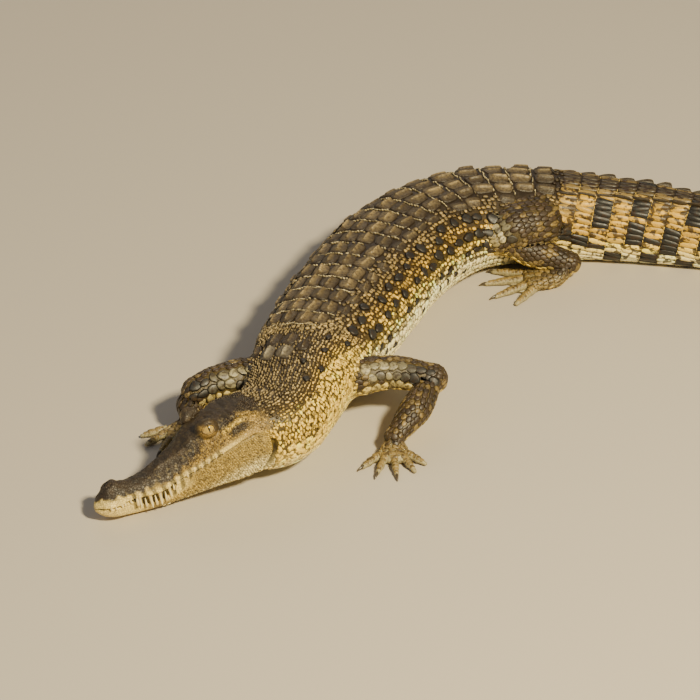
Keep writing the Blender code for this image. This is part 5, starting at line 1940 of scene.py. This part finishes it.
# %% Globes with the pattern measured from the line of sight
def eye_material():
    """Living eye: cornea with IOR 1.38, very smooth; the iris is 15 mm across, the slit 2 mm wide."""
    material, shader, add = new_material("crocodile_eye", Roughness=0.18, IOR=1.38, Coat_Weight=1.0,
                                          Coat_Roughness=0.03)
    front = add("Attribute", attribute_name="front").outputs["Vector"]
    parts = add("SeparateXYZ", {"Vector": front})
    away = add("VectorMath", {0: front}, operation="LENGTH").outputs["Value"]
    # gold threads that run out from the pupil, with a dark rim round them
    turn = add("Math", {0: parts.outputs["Y"], 1: parts.outputs["X"]}, operation="ARCTAN2")
    ring = add("CombineXYZ", {"X": turn})
    threads = add("TexNoise", {"Vector": ring}, Scale=9.0, Detail=3.0)
    gold = add("MapRange", {"Value": threads}, From_Min=0.35, From_Max=0.65)
    iris = add("Mix", {"Factor": gold, 6: rgba("#96762c"), 7: rgba("#c8aa58")}, data_type="RGBA")
    edge = add("MapRange", {"Value": away}, From_Min=0.62, From_Max=0.8)
    rimmed = add("Mix", {"Factor": edge, 6: iris.outputs[2], 7: rgba("#2a1c0e")}, data_type="RGBA")
    # the slit is an ellipse; its half width and half height are shares of the globe's radius
    wide = add("Math", {0: parts.outputs["X"], 1: 1 / 0.095}, operation="MULTIPLY")
    tall = add("Math", {0: parts.outputs["Y"], 1: 1 / 0.58}, operation="MULTIPLY")
    slit = add("CombineXYZ", {"X": wide, "Y": tall})
    depth = add("VectorMath", {0: slit}, operation="LENGTH").outputs["Value"]
    pupil = add("MapRange", {"Value": depth}, From_Min=0.85, From_Max=1.1, To_Min=1.0, To_Max=0.0)
    final = add("Mix", {"Factor": pupil, 6: rimmed.outputs[2], 7: (0.004, 0.003, 0.002, 1)},
                data_type="RGBA")
    feed(shader, {"Base Color": final.outputs[2]})
    return material


wet_eye = eye_material()
for tag, (centre, sight, rear, above) in zip(("left", "right"), EYES):
    bm = bmesh.new()
    bmesh.ops.create_uvsphere(bm, u_segments=40, v_segments=24, radius=1)
    front = [(v.co.x, v.co.y, v.co.z) for v in bm.verts]
    for v in bm.verts:
        x, y, z = v.co
        swell = EYE_RADIUS * (1 + 0.035 * math.exp(-((x * x + y * y) / 0.18)) * (z > 0))
        v.co = centre + (rear * x + above * y + sight * z) * swell
    bmesh.ops.recalc_face_normals(bm, faces=bm.faces[:])
    globe = new_object("eye_globe_" + tag, bm, wet_eye)
    layer = globe.data.attributes.new("front", "FLOAT_VECTOR", "POINT")
    flat = np.array([(x, y, 0.0 if z > 0 else 1.0) for x, y, z in front], np.float32)
    layer.data.foreach_set("vector", flat.ravel())
    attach(globe, "root")
    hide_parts("eye_" + tag)
print("eyes set, globe radius", EYE_RADIUS)


# %% [markdown]
# ## Teeth and claws
# Both are curved horns: a profile spun to a cone and bent along its length.  The upper teeth hang
# outside the lower jaw, and the lower teeth stand up between them.

# %% Curved horns from one spun profile
# (radius, height) as shares of the horn's own
HORN_PROFILE = ((0.0, 0.0), (0.96, 0.0), (1.0, 0.1), (0.93, 0.3), (0.78, 0.52), (0.57, 0.73),
                (0.32, 0.9), (0.0, 1.0))


def horn_shape(steps):
    """Points and faces of one straight horn of radius and height 1."""
    bm = spun(HORN_PROFILE, steps, 0.0001)
    bmesh.ops.recalc_face_normals(bm, faces=bm.faces[:])
    bmesh.ops.triangulate(bm, faces=bm.faces[:])
    bm.verts.index_update()
    shape = np.array([v.co for v in bm.verts]), [[v.index for v in f.verts] for f in bm.faces]
    bm.free()
    return shape


def horns(name, rows, material):
    """One mesh of many horns; a row is (foot, way, bend, side, half width, half depth)."""
    verts, faces = horn_shape(12)
    points, all_faces = [], []
    for foot, way, bend, side, wide, deep in rows:
        other = np.cross(way, side)
        other /= np.linalg.norm(other)
        start = sum(len(p) for p in points)
        x, y, z = verts.T[:, :, None]
        points.append(foot + way * z + bend * z * z + side * x * wide + other * y * deep)
        all_faces += [[start + i for i in f] for f in faces]
    mesh = bpy.data.meshes.new(name)
    mesh.from_pydata([tuple(p) for p in np.concatenate(points)], [], all_faces)
    bm = bmesh.new()
    bm.from_mesh(mesh)
    bpy.data.meshes.remove(mesh)
    bmesh.ops.recalc_face_normals(bm, faces=bm.faces[:])
    thing = new_object(name, bm, material)
    put_values(thing.data, "height", np.tile(verts[:, 2], len(rows)))
    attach(thing, "root")
    print(name, len(rows), "horns,", len(all_faces), "triangles")
    return thing


def horn_material(name, foot_hex, tip_hex, rough):
    """Horn or enamel, IOR 1.6: stained at the foot, clear at the tip, streaks about 0.7 mm."""
    material, shader, add = new_material(name, IOR=1.6, Roughness=rough)
    height = add("Attribute", attribute_name="height").outputs["Fac"]
    place = add("TexCoord").outputs["Object"]
    grain = add("TexNoise", {"Vector": place}, Scale=1500, Detail=3.0)
    total = add("Math", {0: height, 1: grain}, operation="ADD")
    step = add("MapRange", {"Value": total}, From_Min=0.45, From_Max=1.15)
    colour = add("Mix", {"Factor": step, 6: rgba(foot_hex), 7: rgba(tip_hex)}, data_type="RGBA")
    feed(shader, {"Base Color": colour.outputs[2]})
    return material


# %% Teeth
LOWER_DOG_TOOTH = 0.0505                    # station of the tooth that stands in the lip's notch
LOWER_TEETH = np.concatenate([[0.021, 0.033, LOWER_DOG_TOOTH], UPPER_TEETH[3:7] + TOOTH_PITCH / 2])


def tooth_rows():
    """Foot, way, bend, side, half width and half depth of every tooth; the gape shows them long."""
    rows = []
    for side in (1, -1):
        for upper, stations in ((True, UPPER_TEETH), (False, LOWER_TEETH)):
            for s in stations:
                p, back, left, up = [v[0] for v in spine_at(s)]
                w, _, _, level = SECTION_ROWS[int(round(s * 1000))][:4]
                wide = float(gape_width(s))
                size = 1 + 0.15 * float(hill(s, GAPE_AT, 0.016)) + 0.45 * (s == LOWER_DOG_TOOTH)
                lean = back * rng.normal(0.0004, 0.0006)
                if upper:
                    foot = p + left * side * (w - 0.0012) + up * (level + 0.0034)
                    blunt = float(np.interp(s, (0.112, 0.128), (0.0, 0.0032)))
                    way = -up * (0.0072 - blunt + 0.0122 * wide) * size + left * side * 0.0004 + lean
                    rows.append((foot, way, -left * side * 0.0008, left, 0.0021 * size, 0.002 * size))
                else:
                    foot = p + left * side * (w - 0.003) + up * (level - 0.004 - 0.0115 * wide)
                    way = up * (0.007 + 0.006 * wide) * size + left * side * 0.0016 + lean
                    rows.append((foot, way, -left * side * 0.0006, left, 0.0017 * size, 0.0016 * size))
    return rows


ivory = horn_material("tooth_enamel", "#c4a866", "#f0dfa8", 0.3)
horns("teeth", tooth_rows(), ivory)


# %% Claws
def claw_rows():
    """The same for the claws: each leaves the tip of its toe rising and bends to the floor."""
    rows = []
    for root, way, reach, clawed, _ in [toe for limb in LIMBS for toe in TOES[limb]]:
        if clawed:
            foot = root + way * (reach - 0.0012) + UP * 0.0036
            run = way * (CLAW_LENGTH + 0.001) + UP * 0.0028
            bend = UP * -0.0054 - way * 0.0006
            rows.append([np.array(v) for v in (foot, run, bend, way.cross(UP))]
                        + [CLAW_RADIUS * 0.8, CLAW_RADIUS])
    return rows


dark_horn = horn_material("claw_horn", "#2a231b", "#4d4232", 0.34)
claws = horns("claws", claw_rows(), dark_horn)
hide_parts(*[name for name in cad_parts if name.startswith("claw_")])
